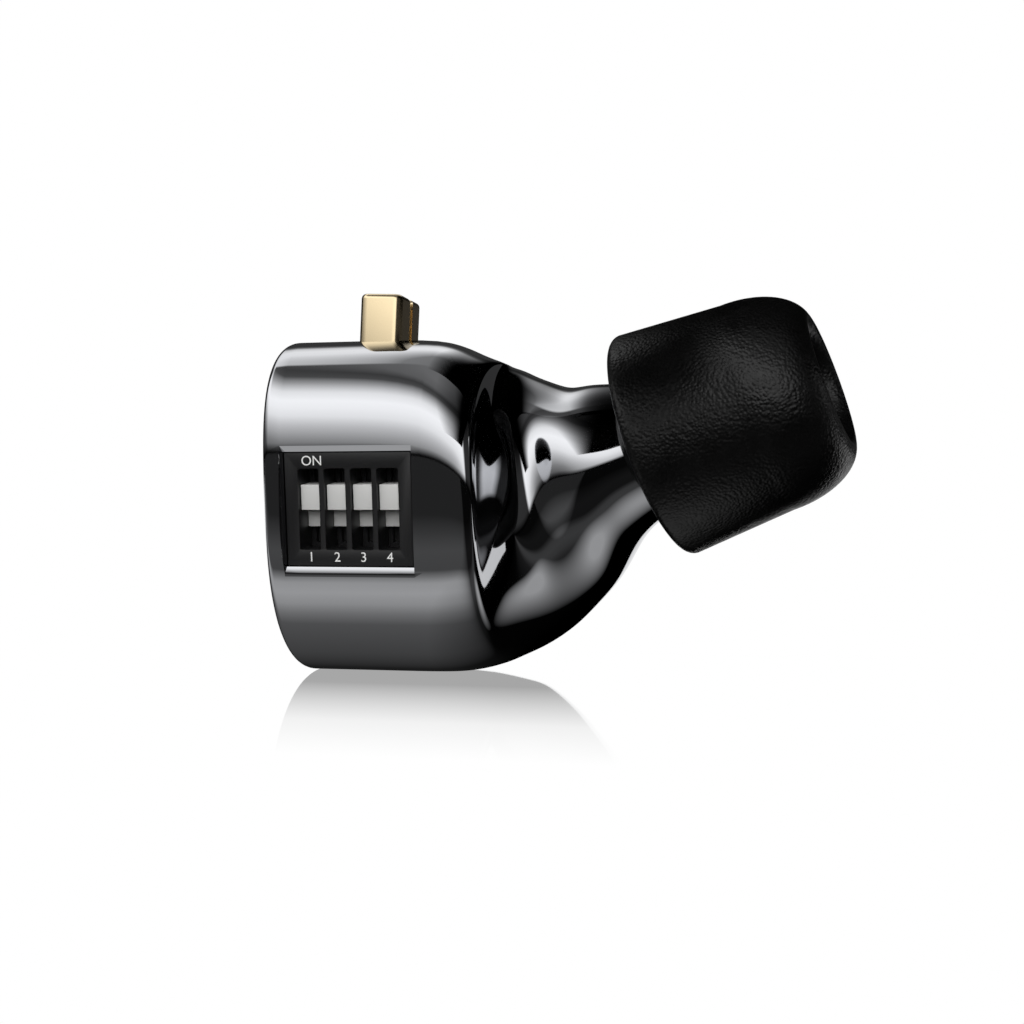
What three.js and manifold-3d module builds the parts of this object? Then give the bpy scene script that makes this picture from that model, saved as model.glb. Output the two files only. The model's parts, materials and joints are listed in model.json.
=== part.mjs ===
// One earpiece of a pair of in-ear monitors: a cast metal shell closed by a faceplate, a four-way tuning
// switch in its side wall, a two-pin cable socket on top, a nozzle that carries a foam ear tip, and the
// drivers, circuit board and wires inside.
// Millimetres, +Z up. The origin is the centre of the faceplate's flat outer face. +X runs from the
// faceplate towards the ear and -Y is the side that carries the tuning switch.
import * as THREE from "three";
import { mergeVertices } from "three/addons/utils/BufferGeometryUtils.js";
import Module from "manifold-3d";

const wasm = await Module();
wasm.setup();

const DEG = Math.PI / 180;
const UP = new THREE.Vector3(0, 0, 1);

// ---- Driving dimensions ----------------------------------------------------------------------------

const GAP = 0.05; // clearance between pieces that are glued, pressed or soldered together
const RUN = 0.04; // clearance around a piece that slides

// The band: the straight part of the shell next to the faceplate
const BAND_HALF_DEPTH = 9.7; // centre to the near and the far side, along Y
const BAND_UP = 8.0; // centre to the top
const BAND_DOWN = 8.15; // centre to the bottom
const BAND_LENGTH = 9.3; // faceplate to where the shoulder begins
const BAND_TOP_EXPONENT = 3.3; // corner tightness of the upper half, 2 is an ellipse
const BAND_BOTTOM_EXPONENT = 2.6;
const BAND_TAPER = 0.08; // how much wider the section is at the top than in the middle
const BAND_SLOPE = 0.1; // how much lower the top is at the far side
const WALL = 0.85; // wall of the casting
const PLATE_THICKNESS = 1.0; // faceplate
const PLATE_CHAMFER = 0.3;
const VENT_PLACE = [5.6, 0.6]; // X and Z of the vent in the far side
const VENT_RADIUS = 0.45;
const VENT_MESH_THICKNESS = 0.2;
const RIM_SET_BACK = 0.2; // the faceplate stands this far proud of the rim
const RIM_ROUND = 0.35; // rounding of the rim's outer edge
const RIM_WALL = 0.6; // wall around the faceplate

// The neck and the nozzle
const NOZZLE_YAW = 9; // degrees towards -Y
const NOZZLE_RISE = 18.8; // degrees above the horizontal
const NOZZLE_REACH = 8.29; // band's end to the seat, where the ear tip's rear rim crosses the nozzle's axis
const NOZZLE_SEAT = [BAND_LENGTH + NOZZLE_REACH, -2.5, 2.98];
const NECK_END = 1.3; // end of the casting, beyond the seat
const NECK_END_RADIUS = 2.95;
const NOZZLE_BORE = 2.0;
const NOZZLE_WALL = 0.5;
const NOZZLE_LENGTH = 3.6; // beyond the end of the casting
const NOZZLE_LIP = 0.25; // how far the lip stands out of the tube
const NOZZLE_LIP_LENGTH = 0.8;
const NOZZLE_SPIGOT = 1.6; // length held in the casting
const NOZZLE_FLANGE = 0.4; // thickness of the collar that rests on the end of the casting
const DAMPER_START = 0.6; // acoustic damper, beyond the end of the casting
const DAMPER_LENGTH = 1.2;
const MESH_THICKNESS = 0.2;
const MESH_HOLE = 0.25; // radius of a hole in the nozzle's mesh
const MESH_PITCH = 0.85;

// The ear tip
const TIP_LENGTH = 9.1;
const TIP_REAR_RADIUS = 5.62;
const TIP_FRONT_RADIUS = 5.15; // where the shoulder begins
const TIP_SHOULDER_LENGTH = 3.65;
const TIP_SHOULDER_DEPTH = 2.1;
const TIP_REAR_HOLLOW = 3.75; // radius of the hollow that takes the end of the casting
const TIP_MOUTH = 2.7; // radius of the mouth in front of the core tube
const TIP_MOUTH_FLARE = 0.15; // how much wider the mouth is at its front
const TIP_REAR_ROUND = 0.35; // rounding of the rear rim
const CORE_WALL = 0.45;
const CORE_FRONT_BORE = 1.75;
const CORE_FRONT = 7.3; // front end of the core tube, from the rear rim
const CORE_SHOULDER = 5.3; // where the bore narrows in front of the nozzle's lip
const CORE_SETBACK = 0.25; // core tube's rear end in front of the casting

// The tuning switch
const SWITCH_PITCH = 1.27;
const SWITCH_COUNT = 4;
const SWITCH_END = 0.485; // body beyond the outer pitches, each end
const SWITCH_HEIGHT = 5.25;
const SWITCH_DEPTH = 2.5;
const SWITCH_TILT = 6.2; // degrees: the side wall leans out towards its top
const SWITCH_SINK = 0.35; // switch's front face inside the near side
const SWITCH_CENTRE = [4.28, -BAND_HALF_DEPTH + SWITCH_SINK, -0.12]; // centre of the switch's front face
const SWITCH_FLOOR = 1.78; // depth of the slots, which is the cover's thickness
const SLOT_WIDTH = 1.03;
const SLOT_LENGTH = 3.8;
const CHAMBER_WIDTH = 1.13; // the slot's wider rear part, which keeps the slider's foot in
const CHAMBER_DEPTH = 0.55;
const CHAMBER_END = 0.1; // how much longer the chamber is than the slot, each end
const KNOB_TOP = 1.12; // above the slot's middle, switched on
const KNOB_HEIGHT = 1.18;
const KNOB_RECESS = 0.28;
const KNOB_CHAMFER = 0.06;
const FOOT_DROP = 0.88; // how far the foot reaches below the knob
const WIPER_SIZE = [0.5, 0.2, 1.5]; // width, thickness and height
const TRACK_SIZE = [0.7, 0.3, 3.5]; // groove in the base that a wiper runs along
const BEZEL_CHAMFER = 0.3;
const BEZEL_MARGIN = 0.06; // gap around the switch in its window

// The cable socket
const SOCKET_CENTRE = [4.72, -4.45, BAND_UP - 0.7]; // middle of the socket at the inside of the wall
const SOCKET_WIDTH = 2.1;
const SOCKET_DEPTH = 3.6;
const SOCKET_CORNER = 0.42;
const SOCKET_WALL = 0.26;
const SOCKET_ABOVE = 3.0; // above the socket's centre point
const SOCKET_BELOW = 1.3;
const SOCKET_LEAN = 2.5; // degrees towards +X
const SOCKET_NOTCH = 0.14; // depth of the key groove in the side
const INSERT_RECESS = 0.12; // insulator below the sleeve's top
const CONTACT_RECESS = 0.25; // contacts below the sleeve's top
const SOLDER_PIN = [0.25, 0.5]; // radius and length, under each contact
const PIN_HOLE = 0.39; // radius: takes a 0.78 mm pin
const PIN_PITCH = 1.75;
const CONTACT_WALL = 0.14;

// The circuit board behind the switch
const BOARD_WIDTH = 6.1;
const BOARD_SHIFT = 0.35; // board's centre from the switch's, towards the ear
const BOARD_HEIGHT = 8.4;
const BOARD_THICKNESS = 0.8;
const BOARD_SETBACK = 0.35; // gap between switch and board
const LEAD_WIDTH = 0.4;
const LEAD_THICKNESS = 0.2;
const LEAD_SPREAD = 2.15; // above and below the middle of the switch
const LEAD_SETBACK = 0.42; // a lead's front end behind the slots' floor
const LEAD_END = 0.25; // a lead's rear end behind the board

// The dynamic driver, on an axis along X
const DRIVER_CENTRE = [2.5, 1.75, -0.3]; // middle of its back
const DRIVER_RADIUS = 5.0;
const DRIVER_DEPTH = 4.2;
const DRIVER_WALL = 0.3;
const MAGNET_RADIUS = 2.45;
const MAGNET_DEPTH = 1.3;
const POLE_DEPTH = 0.5;
const YOKE_WALL = 0.45;
const COIL_GAP = 0.15;
const COIL_WALL = 0.2;
const COIL_LENGTH = 1.2;
const DOME_RADIUS = 3.55;
const DOME_THICKNESS = 0.12;
const DOME_CROWN = 0.55;
const SURROUND_RISE = 0.25;
const YOKE_FLOOR = 0.5;
const REAR_VENT_RADIUS = 1.2; // hole in the middle of the driver's back
const DRIVER_GRILLE = { thickness: 0.3, hole: 0.45, pitch: 1.9 };
const BRACKET_EDGE = 0.15; // bracket's rim inside the wall
const BRACKET_SETBACK = 0.3; // bracket behind the faceplate
const BRACKET_CLEARANCE = 1.3; // bracket's cut edge behind the circuit board

// The balanced armature drivers, in the neck
const ARMATURE_SIZE = [1.85, 2.75, 4.1];
const ARMATURE_REAR = -8.3; // along the nozzle's axis from the seat
const SPOUT_RADIUS = 0.55;
const SPOUT_LENGTH = 1.1;
const SPOUT_WALL = 0.2;
const HOSE_WALL = 0.2;
const HOSE_END_GAP = 0.2; // sound tube's end behind the nozzle

const WIRE_RADIUS = 0.16;

const SIDES = 40; // facets around the shell
const ROUND = 28; // facets around turned pieces

// ---- Materials ---------------------------------------------------------------------------------------

const finish = (color, roughness, metalness) =>
  new THREE.MeshStandardMaterial({ color, roughness, metalness });
const BLACK_CHROME = finish(0x3a3c40, 0.06, 1);
const GOLD = finish(0xd9c08a, 0.18, 1);
const BRASS = finish(0xb8924a, 0.3, 1);
const STEEL = finish(0x9a9ca0, 0.3, 1);
const FOAM = finish(0x151515, 0.55, 0);
const TPU = finish(0x202020, 0.4, 0);
const SWITCH_BLACK = finish(0x141414, 0.45, 0);
const SWITCH_WHITE = finish(0xc4c4c4, 0.5, 0);
const BOARD_GREEN = finish(0x14402c, 0.4, 0);
const MAGNET_NICKEL = finish(0x8a8c90, 0.25, 1);
const FILM = finish(0xc9c2a8, 0.35, 0);
const COPPER = finish(0xa8622e, 0.35, 1);
const CERAMIC = finish(0x2a2320, 0.6, 0);
const INSULATION_RED = finish(0x7c1f1c, 0.4, 0);
const INSULATION_BLUE = finish(0x1c3470, 0.4, 0);

// ---- Geometry helpers --------------------------------------------------------------------------------

// A closed geometry as a manifold-3d solid.
function solid(geometry) {
  const bare = geometry.clone();
  bare.deleteAttribute("normal");
  bare.deleteAttribute("uv");
  const merged = mergeVertices(bare, 1e-4);
  return new wasm.Manifold(
    new wasm.Mesh({
      numProp: 3,
      vertProperties: merged.attributes.position.array,
      triVerts: new Uint32Array(merged.index.array),
    }),
  );
}

// A manifold-3d solid as a geometry.
function geometryOf(made) {
  const mesh = made.getMesh();
  const geometry = new THREE.BufferGeometry();
  geometry.setAttribute("position", new THREE.BufferAttribute(mesh.vertProperties, 3));
  geometry.setIndex(new THREE.BufferAttribute(mesh.triVerts, 1));
  return geometry;
}

const cut = (body, ...tools) =>
  geometryOf(tools.reduce((left, tool) => left.subtract(solid(tool)), solid(body)));
const join = (body, ...more) =>
  geometryOf(more.reduce((left, piece) => left.add(solid(piece)), solid(body)));

// A box between two corners.
function block(low, high) {
  const size = high.map((value, k) => value - low[k]);
  const middle = high.map((value, k) => (value + low[k]) / 2);
  return new THREE.BoxGeometry(...size).translate(...middle);
}

// A piece turned about Z from a profile of [radius, height] points, going up its outside.
function turned(profile, segments = ROUND) {
  const points = profile.map(([radius, height]) => new THREE.Vector2(radius, height));
  return new THREE.LatheGeometry(points, segments).rotateX(Math.PI / 2);
}

// A disc or a tube about Z between two heights.
function disc(radius, low, high, segments = ROUND) {
  return turned([[0, low], [radius, low], [radius, high], [0, high]], segments);
}

function tube(inner, outer, low, high, segments = ROUND) {
  return turned([[inner, low], [outer, low], [outer, high], [inner, high], [inner, low]], segments);
}

// A rectangle with round corners, width along X and depth along Y, with an optional groove in its +X side.
function roundedRectangle(width, depth, corner, groove = 0) {
  const x = width / 2;
  const y = depth / 2;
  const shape = new THREE.Shape();
  shape.moveTo(-x + corner, -y);
  shape.lineTo(x - corner, -y);
  shape.absarc(x - corner, -y + corner, corner, -Math.PI / 2, 0, false);
  if (groove > 0) {
    shape.lineTo(x, -groove * 2);
    shape.lineTo(x - groove, -groove);
    shape.lineTo(x - groove, groove);
    shape.lineTo(x, groove * 2);
  }
  shape.absarc(x - corner, y - corner, corner, 0, Math.PI / 2, false);
  shape.absarc(-x + corner, y - corner, corner, Math.PI / 2, Math.PI, false);
  shape.absarc(-x + corner, -y + corner, corner, Math.PI, Math.PI * 1.5, false);
  return shape;
}

// A shape in the XY plane made solid between two heights.
function prism(shape, low, high, curveSegments = 4) {
  const options = { depth: high - low, bevelEnabled: false, curveSegments };
  return new THREE.ExtrudeGeometry(shape, options).translate(0, 0, low);
}

// A closed skin through rings of equally many points. A loop joins the last ring to the first; otherwise
// both ends are closed with a fan.
function skin(rings, loop) {
  const count = rings[0].length;
  const positions = rings.flat().flatMap((point) => point.toArray());
  const index = [];
  const last = loop ? rings.length : rings.length - 1;
  for (let i = 0; i < last; i++) {
    const next = (i + 1) % rings.length;
    for (let j = 0; j < count; j++) {
      const k = (j + 1) % count;
      const [a, b, c, d] = [i * count + j, i * count + k, next * count + k, next * count + j];
      index.push(a, b, c, a, c, d);
    }
  }
  if (!loop) {
    for (let j = 1; j < count - 1; j++) {
      const end = (rings.length - 1) * count;
      index.push(0, j + 1, j);
      index.push(end, end + j, end + j + 1);
    }
  }
  const geometry = new THREE.BufferGeometry();
  geometry.setAttribute("position", new THREE.Float32BufferAttribute(positions, 3));
  geometry.setIndex(index);
  return geometry;
}

// ---- The shell's outer form --------------------------------------------------------------------------

// The way out of the faceplate, yawed towards -Y and raised.
const directionOf = (yaw, rise) =>
  new THREE.Vector3(1, 0, 0).applyAxisAngle(UP, -yaw * DEG).multiplyScalar(Math.cos(rise * DEG))
    .addScaledVector(UP, Math.sin(rise * DEG));
const nozzleAxis = directionOf(NOZZLE_YAW, NOZZLE_RISE);
const onAxis = (distance) => new THREE.Vector3(...NOZZLE_SEAT).addScaledVector(nozzleAxis, distance);

// A control section of the form: a rounded outline in a plane that rises and yaws with the neck.
const section = (values) => ({
  at: new THREE.Vector3(),
  rise: 0,
  yaw: 0,
  near: BAND_HALF_DEPTH,
  far: BAND_HALF_DEPTH,
  up: BAND_UP,
  down: BAND_DOWN,
  topExponent: BAND_TOP_EXPONENT,
  bottomExponent: BAND_BOTTOM_EXPONENT,
  taper: BAND_TAPER,
  slope: BAND_SLOPE,
  ...values,
});
const bandSection = (x, values = {}) => section({ at: new THREE.Vector3(x, 0, 0), ...values });
const neckSection = (x, y, z, rise, yaw, near, far, up, down, values = {}) =>
  section({
    at: new THREE.Vector3(x, y, z), rise, yaw, near, far, up, down, taper: 0, slope: 0,
    topExponent: 2.2, bottomExponent: 2.05, ...values,
  });
const roundSection = (distance, radius, rise = NOZZLE_RISE) =>
  section({
    at: onAxis(distance), rise, yaw: NOZZLE_YAW, near: radius, far: radius, up: radius, down: radius,
    topExponent: 2, bottomExponent: 2, taper: 0, slope: 0,
  });

// The form is a cubic B-spline through these control sections, so it passes close to each of them.
const bandStep = (BAND_LENGTH - RIM_SET_BACK) / 3.5;
const SECTIONS = [
  bandSection(RIM_SET_BACK - bandStep),
  bandSection(RIM_SET_BACK),
  bandSection(RIM_SET_BACK + bandStep),
  bandSection(RIM_SET_BACK + bandStep * 2),
  bandSection(RIM_SET_BACK + bandStep * 3, { topExponent: 3.2 }),
  bandSection(BAND_LENGTH, {
    far: BAND_HALF_DEPTH - 0.2, up: BAND_UP - 0.65, down: BAND_DOWN - 0.2, topExponent: 2.9,
  }),
  bandSection(BAND_LENGTH + 0.9, {
    near: BAND_HALF_DEPTH + 0.05, far: 0.94 * BAND_HALF_DEPTH, up: 0.9 * BAND_UP, down: 0.945 * BAND_DOWN,
    rise: 1, topExponent: 2.5, bottomExponent: 2.5, taper: 0.05, slope: 0.08,
  }),
  bandSection(BAND_LENGTH + 1.15, {
    near: 0.92 * BAND_HALF_DEPTH, far: 0.9 * BAND_HALF_DEPTH, up: 0.895 * BAND_UP, down: 0.93 * BAND_DOWN,
    rise: 2, yaw: 1, topExponent: 2.4, bottomExponent: 2.45, taper: 0.04, slope: 0.06,
  }),
  neckSection(BAND_LENGTH + 1.55, -0.05, 0.05, 4, 2, 7.6, 8.2, 7.1, 7.4, {
    topExponent: 2.35, bottomExponent: 2.35,
  }),
  neckSection(BAND_LENGTH + 2.3, -0.2, 0.2, 7, 3.5, 6.3, 7.2, 6.85, 6.95, {
    topExponent: 2.3, bottomExponent: 2.2,
  }),
  neckSection(BAND_LENGTH + 3.1, -0.55, 0.5, 10, 5, 5.15, 6.4, 6.3, 6.5, {
    topExponent: 2.3, bottomExponent: 2.1,
  }),
  neckSection(BAND_LENGTH + 4.1, -1.05, 0.95, 12, 6.5, 4.8, 5.45, 5.5, 5.9),
  neckSection(BAND_LENGTH + 5.3, -1.6, 1.6, 14, 8, 4.6, 4.7, 4.4, 5.3),
  roundSection(-2.0, 3.95, 17.5),
  roundSection(-0.5, 3.4),
  roundSection(NECK_END, NECK_END_RADIUS),
  roundSection(NECK_END + 1.9, NECK_END_RADIUS),
];
const LAST_SPAN = SECTIONS.length - 3;
// The span at which a straight neck of the last three sections reaches the end of the casting
const END_SPAN = LAST_SPAN - 0.28;

// The control sections blended at a place along the form, counted in spans.
function sectionAt(span) {
  const first = Math.min(Math.floor(span), LAST_SPAN - 1);
  const u = span - first;
  const weights = [
    (1 - u) ** 3, 3 * u ** 3 - 6 * u ** 2 + 4, -3 * u ** 3 + 3 * u ** 2 + 3 * u + 1, u ** 3,
  ].map((value) => value / 6);
  const blended = section({ at: new THREE.Vector3() });
  for (const key of Object.keys(blended)) {
    if (key !== "at") blended[key] = weights.reduce((sum, w, k) => sum + w * SECTIONS[first + k][key], 0);
  }
  weights.forEach((w, k) => blended.at.addScaledVector(SECTIONS[first + k].at, w));
  return blended;
}

// A point on a section's outline, drawn in by inset. The angle runs from the far side over the top.
function outlinePoint(shape, angle, inset = 0) {
  const across = Math.cos(angle);
  const along = Math.sin(angle);
  const width = across < 0 ? shape.near : shape.far;
  const height = along > 0 ? shape.up : shape.down;
  const exponent = along > 0 ? shape.topExponent : shape.bottomExponent;
  const sum = Math.abs(across / width) ** exponent + Math.abs(along / height) ** exponent;
  const radius = sum ** (-1 / exponent) - inset;
  const depth = radius * across * (1 + (shape.taper * radius * along) / BAND_UP);
  const rise = radius * along * (1 - (shape.slope * radius * across) / BAND_HALF_DEPTH);
  const yaw = shape.yaw * DEG;
  const normal = directionOf(shape.yaw, shape.rise);
  const sideways = new THREE.Vector3(Math.sin(yaw), Math.cos(yaw), 0);
  const upwards = normal.clone().cross(sideways);
  return shape.at.clone().addScaledVector(sideways, depth).addScaledVector(upwards, rise);
}

// A point of the form, moved inwards along the surface's own normal.
function formPoint(span, angle, inwards = 0) {
  const point = outlinePoint(sectionAt(span), angle);
  if (inwards === 0) return point;
  const step = 0.01;
  const at = (moved, turned) => outlinePoint(sectionAt(span + moved), angle + turned);
  const ahead = at(step, 0).sub(at(-step, 0));
  const around = at(0, step).sub(at(0, -step));
  const outwards = around.cross(ahead).normalize();
  return point.addScaledVector(outwards, -inwards);
}

const ringOf = (place) => Array.from({ length: SIDES }, (_, k) => place((k / SIDES) * 2 * Math.PI));

// A ring of the band's outline at a distance from the faceplate, drawn in by inset.
const bandRing = (x, inset) => ringOf((angle) => outlinePoint(bandSection(x), angle, inset));
const roundRing = (distance, radius) =>
  ringOf((angle) => outlinePoint(roundSection(distance, radius), angle));

// ---- The shell and its faceplate ---------------------------------------------------------------------

const LEDGE = PLATE_THICKNESS + GAP;

function shellBody() {
  const rim = [0, 1, 2, 3].map((k) => {
    const turn = (k / 3) * (Math.PI / 2);
    return bandRing(RIM_SET_BACK + RIM_ROUND * (1 - Math.cos(turn)), RIM_ROUND * (1 - Math.sin(turn)));
  });
  // Closest together where the shoulder curves most
  const outerSpans = [
    2.6, 3.3, 3.9, 4.3, 4.7, 5.1, 5.5, 5.9, 6.4, 7, 7.6, 8.2, 8.8, 9.5, 10.3, 11.1, 11.9, 12.8, END_SPAN,
  ];
  const outer = outerSpans.map((span) => ringOf((angle) => formPoint(span, angle)));
  const bore = [
    roundRing(NECK_END, NOZZLE_BORE + NOZZLE_WALL + GAP),
    roundRing(NECK_END - NOZZLE_SPIGOT, NOZZLE_BORE + NOZZLE_WALL + GAP),
  ];
  // None where the shoulder is rounder than the wall is thick
  const innerSpans = [11.5, 10.8, 10.2, 9.6, 9, 8.4, 7.8, 7.2, 6.7, 4, 3.4, 2.6];
  const inner = innerSpans.map((span) => ringOf((angle) => formPoint(span, angle, WALL)));
  const seat = [bandRing(LEDGE, WALL), bandRing(LEDGE, RIM_WALL), bandRing(RIM_SET_BACK, RIM_WALL)];
  return skin([...rim, ...outer, ...bore, ...inner, ...seat], true);
}

const switchWidth = SWITCH_PITCH * SWITCH_COUNT + 2 * SWITCH_END;
const switchFrame = new THREE.Matrix4().makeRotationX(SWITCH_TILT * DEG).setPosition(...SWITCH_CENTRE);

// The window for the switch, with a chamfer where it meets the outside of the wall.
function switchWindow() {
  const x = switchWidth / 2 + BEZEL_MARGIN;
  const z = SWITCH_HEIGHT / 2 + BEZEL_MARGIN;
  const through = block([-x, -2, -z], [x, SWITCH_DEPTH, z]);
  const outside = 1.0; // how far beyond the wall the flare is cut
  const surface = -0.3; // the wall's outside, in front of the switch
  const corners = [[-1, -1], [1, -1], [1, 1], [-1, 1]];
  const flare = (y, more) =>
    corners.map(([i, k]) => new THREE.Vector3(i * (x + more), y, k * (z + more)));
  const ends = [flare(surface + BEZEL_CHAMFER, 0), flare(surface - outside, BEZEL_CHAMFER + outside)];
  const funnel = skin(ends, false);
  return join(through, funnel).applyMatrix4(switchFrame);
}

const socketFrame = new THREE.Matrix4().makeRotationY(SOCKET_LEAN * DEG).setPosition(...SOCKET_CENTRE);

// A disc across the far wall at the vent.
const ventDisc = (radius, low, high) =>
  disc(radius, low, high, 12).rotateX(-Math.PI / 2).translate(VENT_PLACE[0], 0, VENT_PLACE[1]);

function makeShell() {
  const socketHole = prism(
    roundedRectangle(SOCKET_WIDTH + 2 * GAP, SOCKET_DEPTH + 2 * GAP, SOCKET_CORNER + GAP),
    -SOCKET_BELOW - 1, SOCKET_ABOVE,
  ).applyMatrix4(socketFrame);
  const vent = ventDisc(VENT_RADIUS, BAND_HALF_DEPTH - 2, BAND_HALF_DEPTH + 1);
  return cut(shellBody(), switchWindow(), socketHole, vent);
}

// The plate behind the faceplate that the dynamic driver is glued to, cut back behind the circuit board.
function makeBracket() {
  const edge = WALL + BRACKET_EDGE;
  const rings = [LEDGE + BRACKET_SETBACK, DRIVER_CENTRE[0] - GAP].map((x) => bandRing(x, edge));
  const clear = SWITCH_CENTRE[1] + boardBack + BRACKET_CLEARANCE;
  const board = block([0, -2 * BAND_HALF_DEPTH, -2 * BAND_DOWN], [BAND_LENGTH, clear, 2 * BAND_UP]);
  const opening = disc(REAR_VENT_RADIUS, 0, DRIVER_CENTRE[0] + 1, 16)
    .rotateY(Math.PI / 2)
    .translate(0, DRIVER_CENTRE[1], DRIVER_CENTRE[2]);
  return cut(skin(rings, false), board, opening);
}

function makeFaceplate() {
  const edge = RIM_WALL + GAP;
  const rings = [
    bandRing(0, edge + PLATE_CHAMFER), bandRing(PLATE_CHAMFER, edge), bandRing(PLATE_THICKNESS, edge),
  ];
  return skin(rings, false);
}

// ---- The nozzle and the ear tip, on the nozzle's axis ------------------------------------------------

const tubeRadius = NOZZLE_BORE + NOZZLE_WALL;
const lipRadius = tubeRadius + NOZZLE_LIP;
const nozzleFront = NECK_END + NOZZLE_LENGTH;
const meshSeat = NOZZLE_BORE + NOZZLE_WALL / 2;

function makeNozzle() {
  const lipStart = nozzleFront - NOZZLE_LIP_LENGTH;
  const flangeTop = NECK_END + GAP + NOZZLE_FLANGE;
  return turned([
    [NOZZLE_BORE, NECK_END - NOZZLE_SPIGOT], [tubeRadius, NECK_END - NOZZLE_SPIGOT],
    [tubeRadius, NECK_END + GAP], [lipRadius, NECK_END + GAP], [lipRadius, flangeTop],
    [tubeRadius, flangeTop], [tubeRadius, lipStart - NOZZLE_LIP], [lipRadius, lipStart],
    [lipRadius, nozzleFront - NOZZLE_LIP / 2], [lipRadius - NOZZLE_LIP / 2, nozzleFront],
    [meshSeat, nozzleFront], [meshSeat, nozzleFront - MESH_THICKNESS - GAP],
    [NOZZLE_BORE, nozzleFront - MESH_THICKNESS - GAP], [NOZZLE_BORE, NECK_END - NOZZLE_SPIGOT],
  ]);
}

// Points around a circle.
const circle = (radius, count, x = 0, y = 0) =>
  Array.from({ length: count }, (_, k) => {
    const angle = (k / count) * 2 * Math.PI;
    return new THREE.Vector2(x + radius * Math.cos(angle), y + radius * Math.sin(angle));
  });

// A round grille with holes on a hexagonal grid.
function grille(radius, thickness, holeRadius, pitch, low) {
  const plate = new THREE.Shape(circle(radius, 24));
  const reach = Math.ceil(radius / pitch);
  for (let row = -reach; row <= reach; row++) {
    for (let column = -reach; column <= reach; column++) {
      const x = pitch * (column + (row % 2 === 0 ? 0 : 0.5));
      const y = pitch * row * Math.sin(Math.PI / 3);
      if (Math.hypot(x, y) < radius - holeRadius * 1.6) {
        plate.holes.push(new THREE.Path(circle(holeRadius, 6, x, y)));
      }
    }
  }
  return prism(plate, low, low + thickness);
}

const coreBore = lipRadius + RUN;
const coreOuter = coreBore + CORE_WALL;
const coreRear = NECK_END + CORE_SETBACK;

function makeCore() {
  return turned([
    [coreBore, coreRear], [coreOuter, coreRear], [coreOuter, CORE_FRONT], [CORE_FRONT_BORE, CORE_FRONT],
    [CORE_FRONT_BORE, CORE_SHOULDER], [coreBore, CORE_SHOULDER], [coreBore, coreRear],
  ]);
}

function makeFoam() {
  const outside = [];
  for (let turn = 0; turn <= 90; turn += 45) {
    outside.push([
      TIP_REAR_RADIUS - TIP_REAR_ROUND * (1 - Math.sin(turn * DEG)),
      TIP_REAR_ROUND * (1 - Math.cos(turn * DEG)),
    ]);
  }
  const shoulderStart = TIP_LENGTH - TIP_SHOULDER_LENGTH;
  for (let turn = 0; turn <= 90; turn += 15) {
    outside.push([
      TIP_FRONT_RADIUS - TIP_SHOULDER_DEPTH * (1 - Math.cos(turn * DEG)),
      shoulderStart + TIP_SHOULDER_LENGTH * Math.sin(turn * DEG),
    ]);
  }
  const bore = coreOuter + GAP;
  return turned([
    [TIP_REAR_HOLLOW, 0], ...outside,
    [TIP_MOUTH + TIP_MOUTH_FLARE, TIP_LENGTH - 0.4], [TIP_MOUTH, TIP_LENGTH - 0.9],
    [TIP_MOUTH, CORE_FRONT + GAP], [bore, CORE_FRONT + GAP], [bore, coreRear],
    [TIP_REAR_HOLLOW, coreRear - 0.5], [TIP_REAR_HOLLOW, 0],
  ], 32);
}

// ---- The tuning switch, in its own frame: front face at y = 0, depth along +Y --------------------------

const slotX = (k) => (k - (SWITCH_COUNT - 1) / 2) * SWITCH_PITCH;
const switches = Array.from({ length: SWITCH_COUNT }, (_, k) => k);
const leads = switches.flatMap((k) => [1, -1].map((side) => ({ k, side })));
const leadBox = ({ k, side }, low, high, gap) =>
  block(
    [slotX(k) - LEAD_WIDTH / 2 - gap, low, side * LEAD_SPREAD - LEAD_THICKNESS / 2 - gap],
    [slotX(k) + LEAD_WIDTH / 2 + gap, high, side * LEAD_SPREAD + LEAD_THICKNESS / 2 + gap],
  );

function makeSwitchCover() {
  const x = switchWidth / 2;
  const z = SWITCH_HEIGHT / 2;
  const opening = (k, width, length, low) =>
    block([slotX(k) - width / 2, low, -length / 2], [slotX(k) + width / 2, SWITCH_DEPTH, length / 2]);
  const chamberLength = SLOT_LENGTH + 2 * CHAMBER_END;
  const slots = switches.flatMap((k) => [
    opening(k, SLOT_WIDTH, SLOT_LENGTH, -1),
    opening(k, CHAMBER_WIDTH, chamberLength, SWITCH_FLOOR - CHAMBER_DEPTH),
  ]);
  return cut(block([-x, 0, -z], [x, SWITCH_FLOOR, z]), ...slots);
}

function makeSwitchBase() {
  const x = switchWidth / 2;
  const z = SWITCH_HEIGHT / 2;
  const low = SWITCH_FLOOR + GAP;
  const [width, depth, height] = TRACK_SIZE;
  const grooves = switches.map((k) =>
    block([slotX(k) - width / 2, low - 1, -height / 2], [slotX(k) + width / 2, low + depth, height / 2]),
  );
  const holes = leads.map((lead) => leadBox(lead, low - 1, SWITCH_DEPTH + 1, RUN));
  return cut(block([-x, low, -z], [x, SWITCH_DEPTH, z]), ...grooves, ...holes);
}

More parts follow.
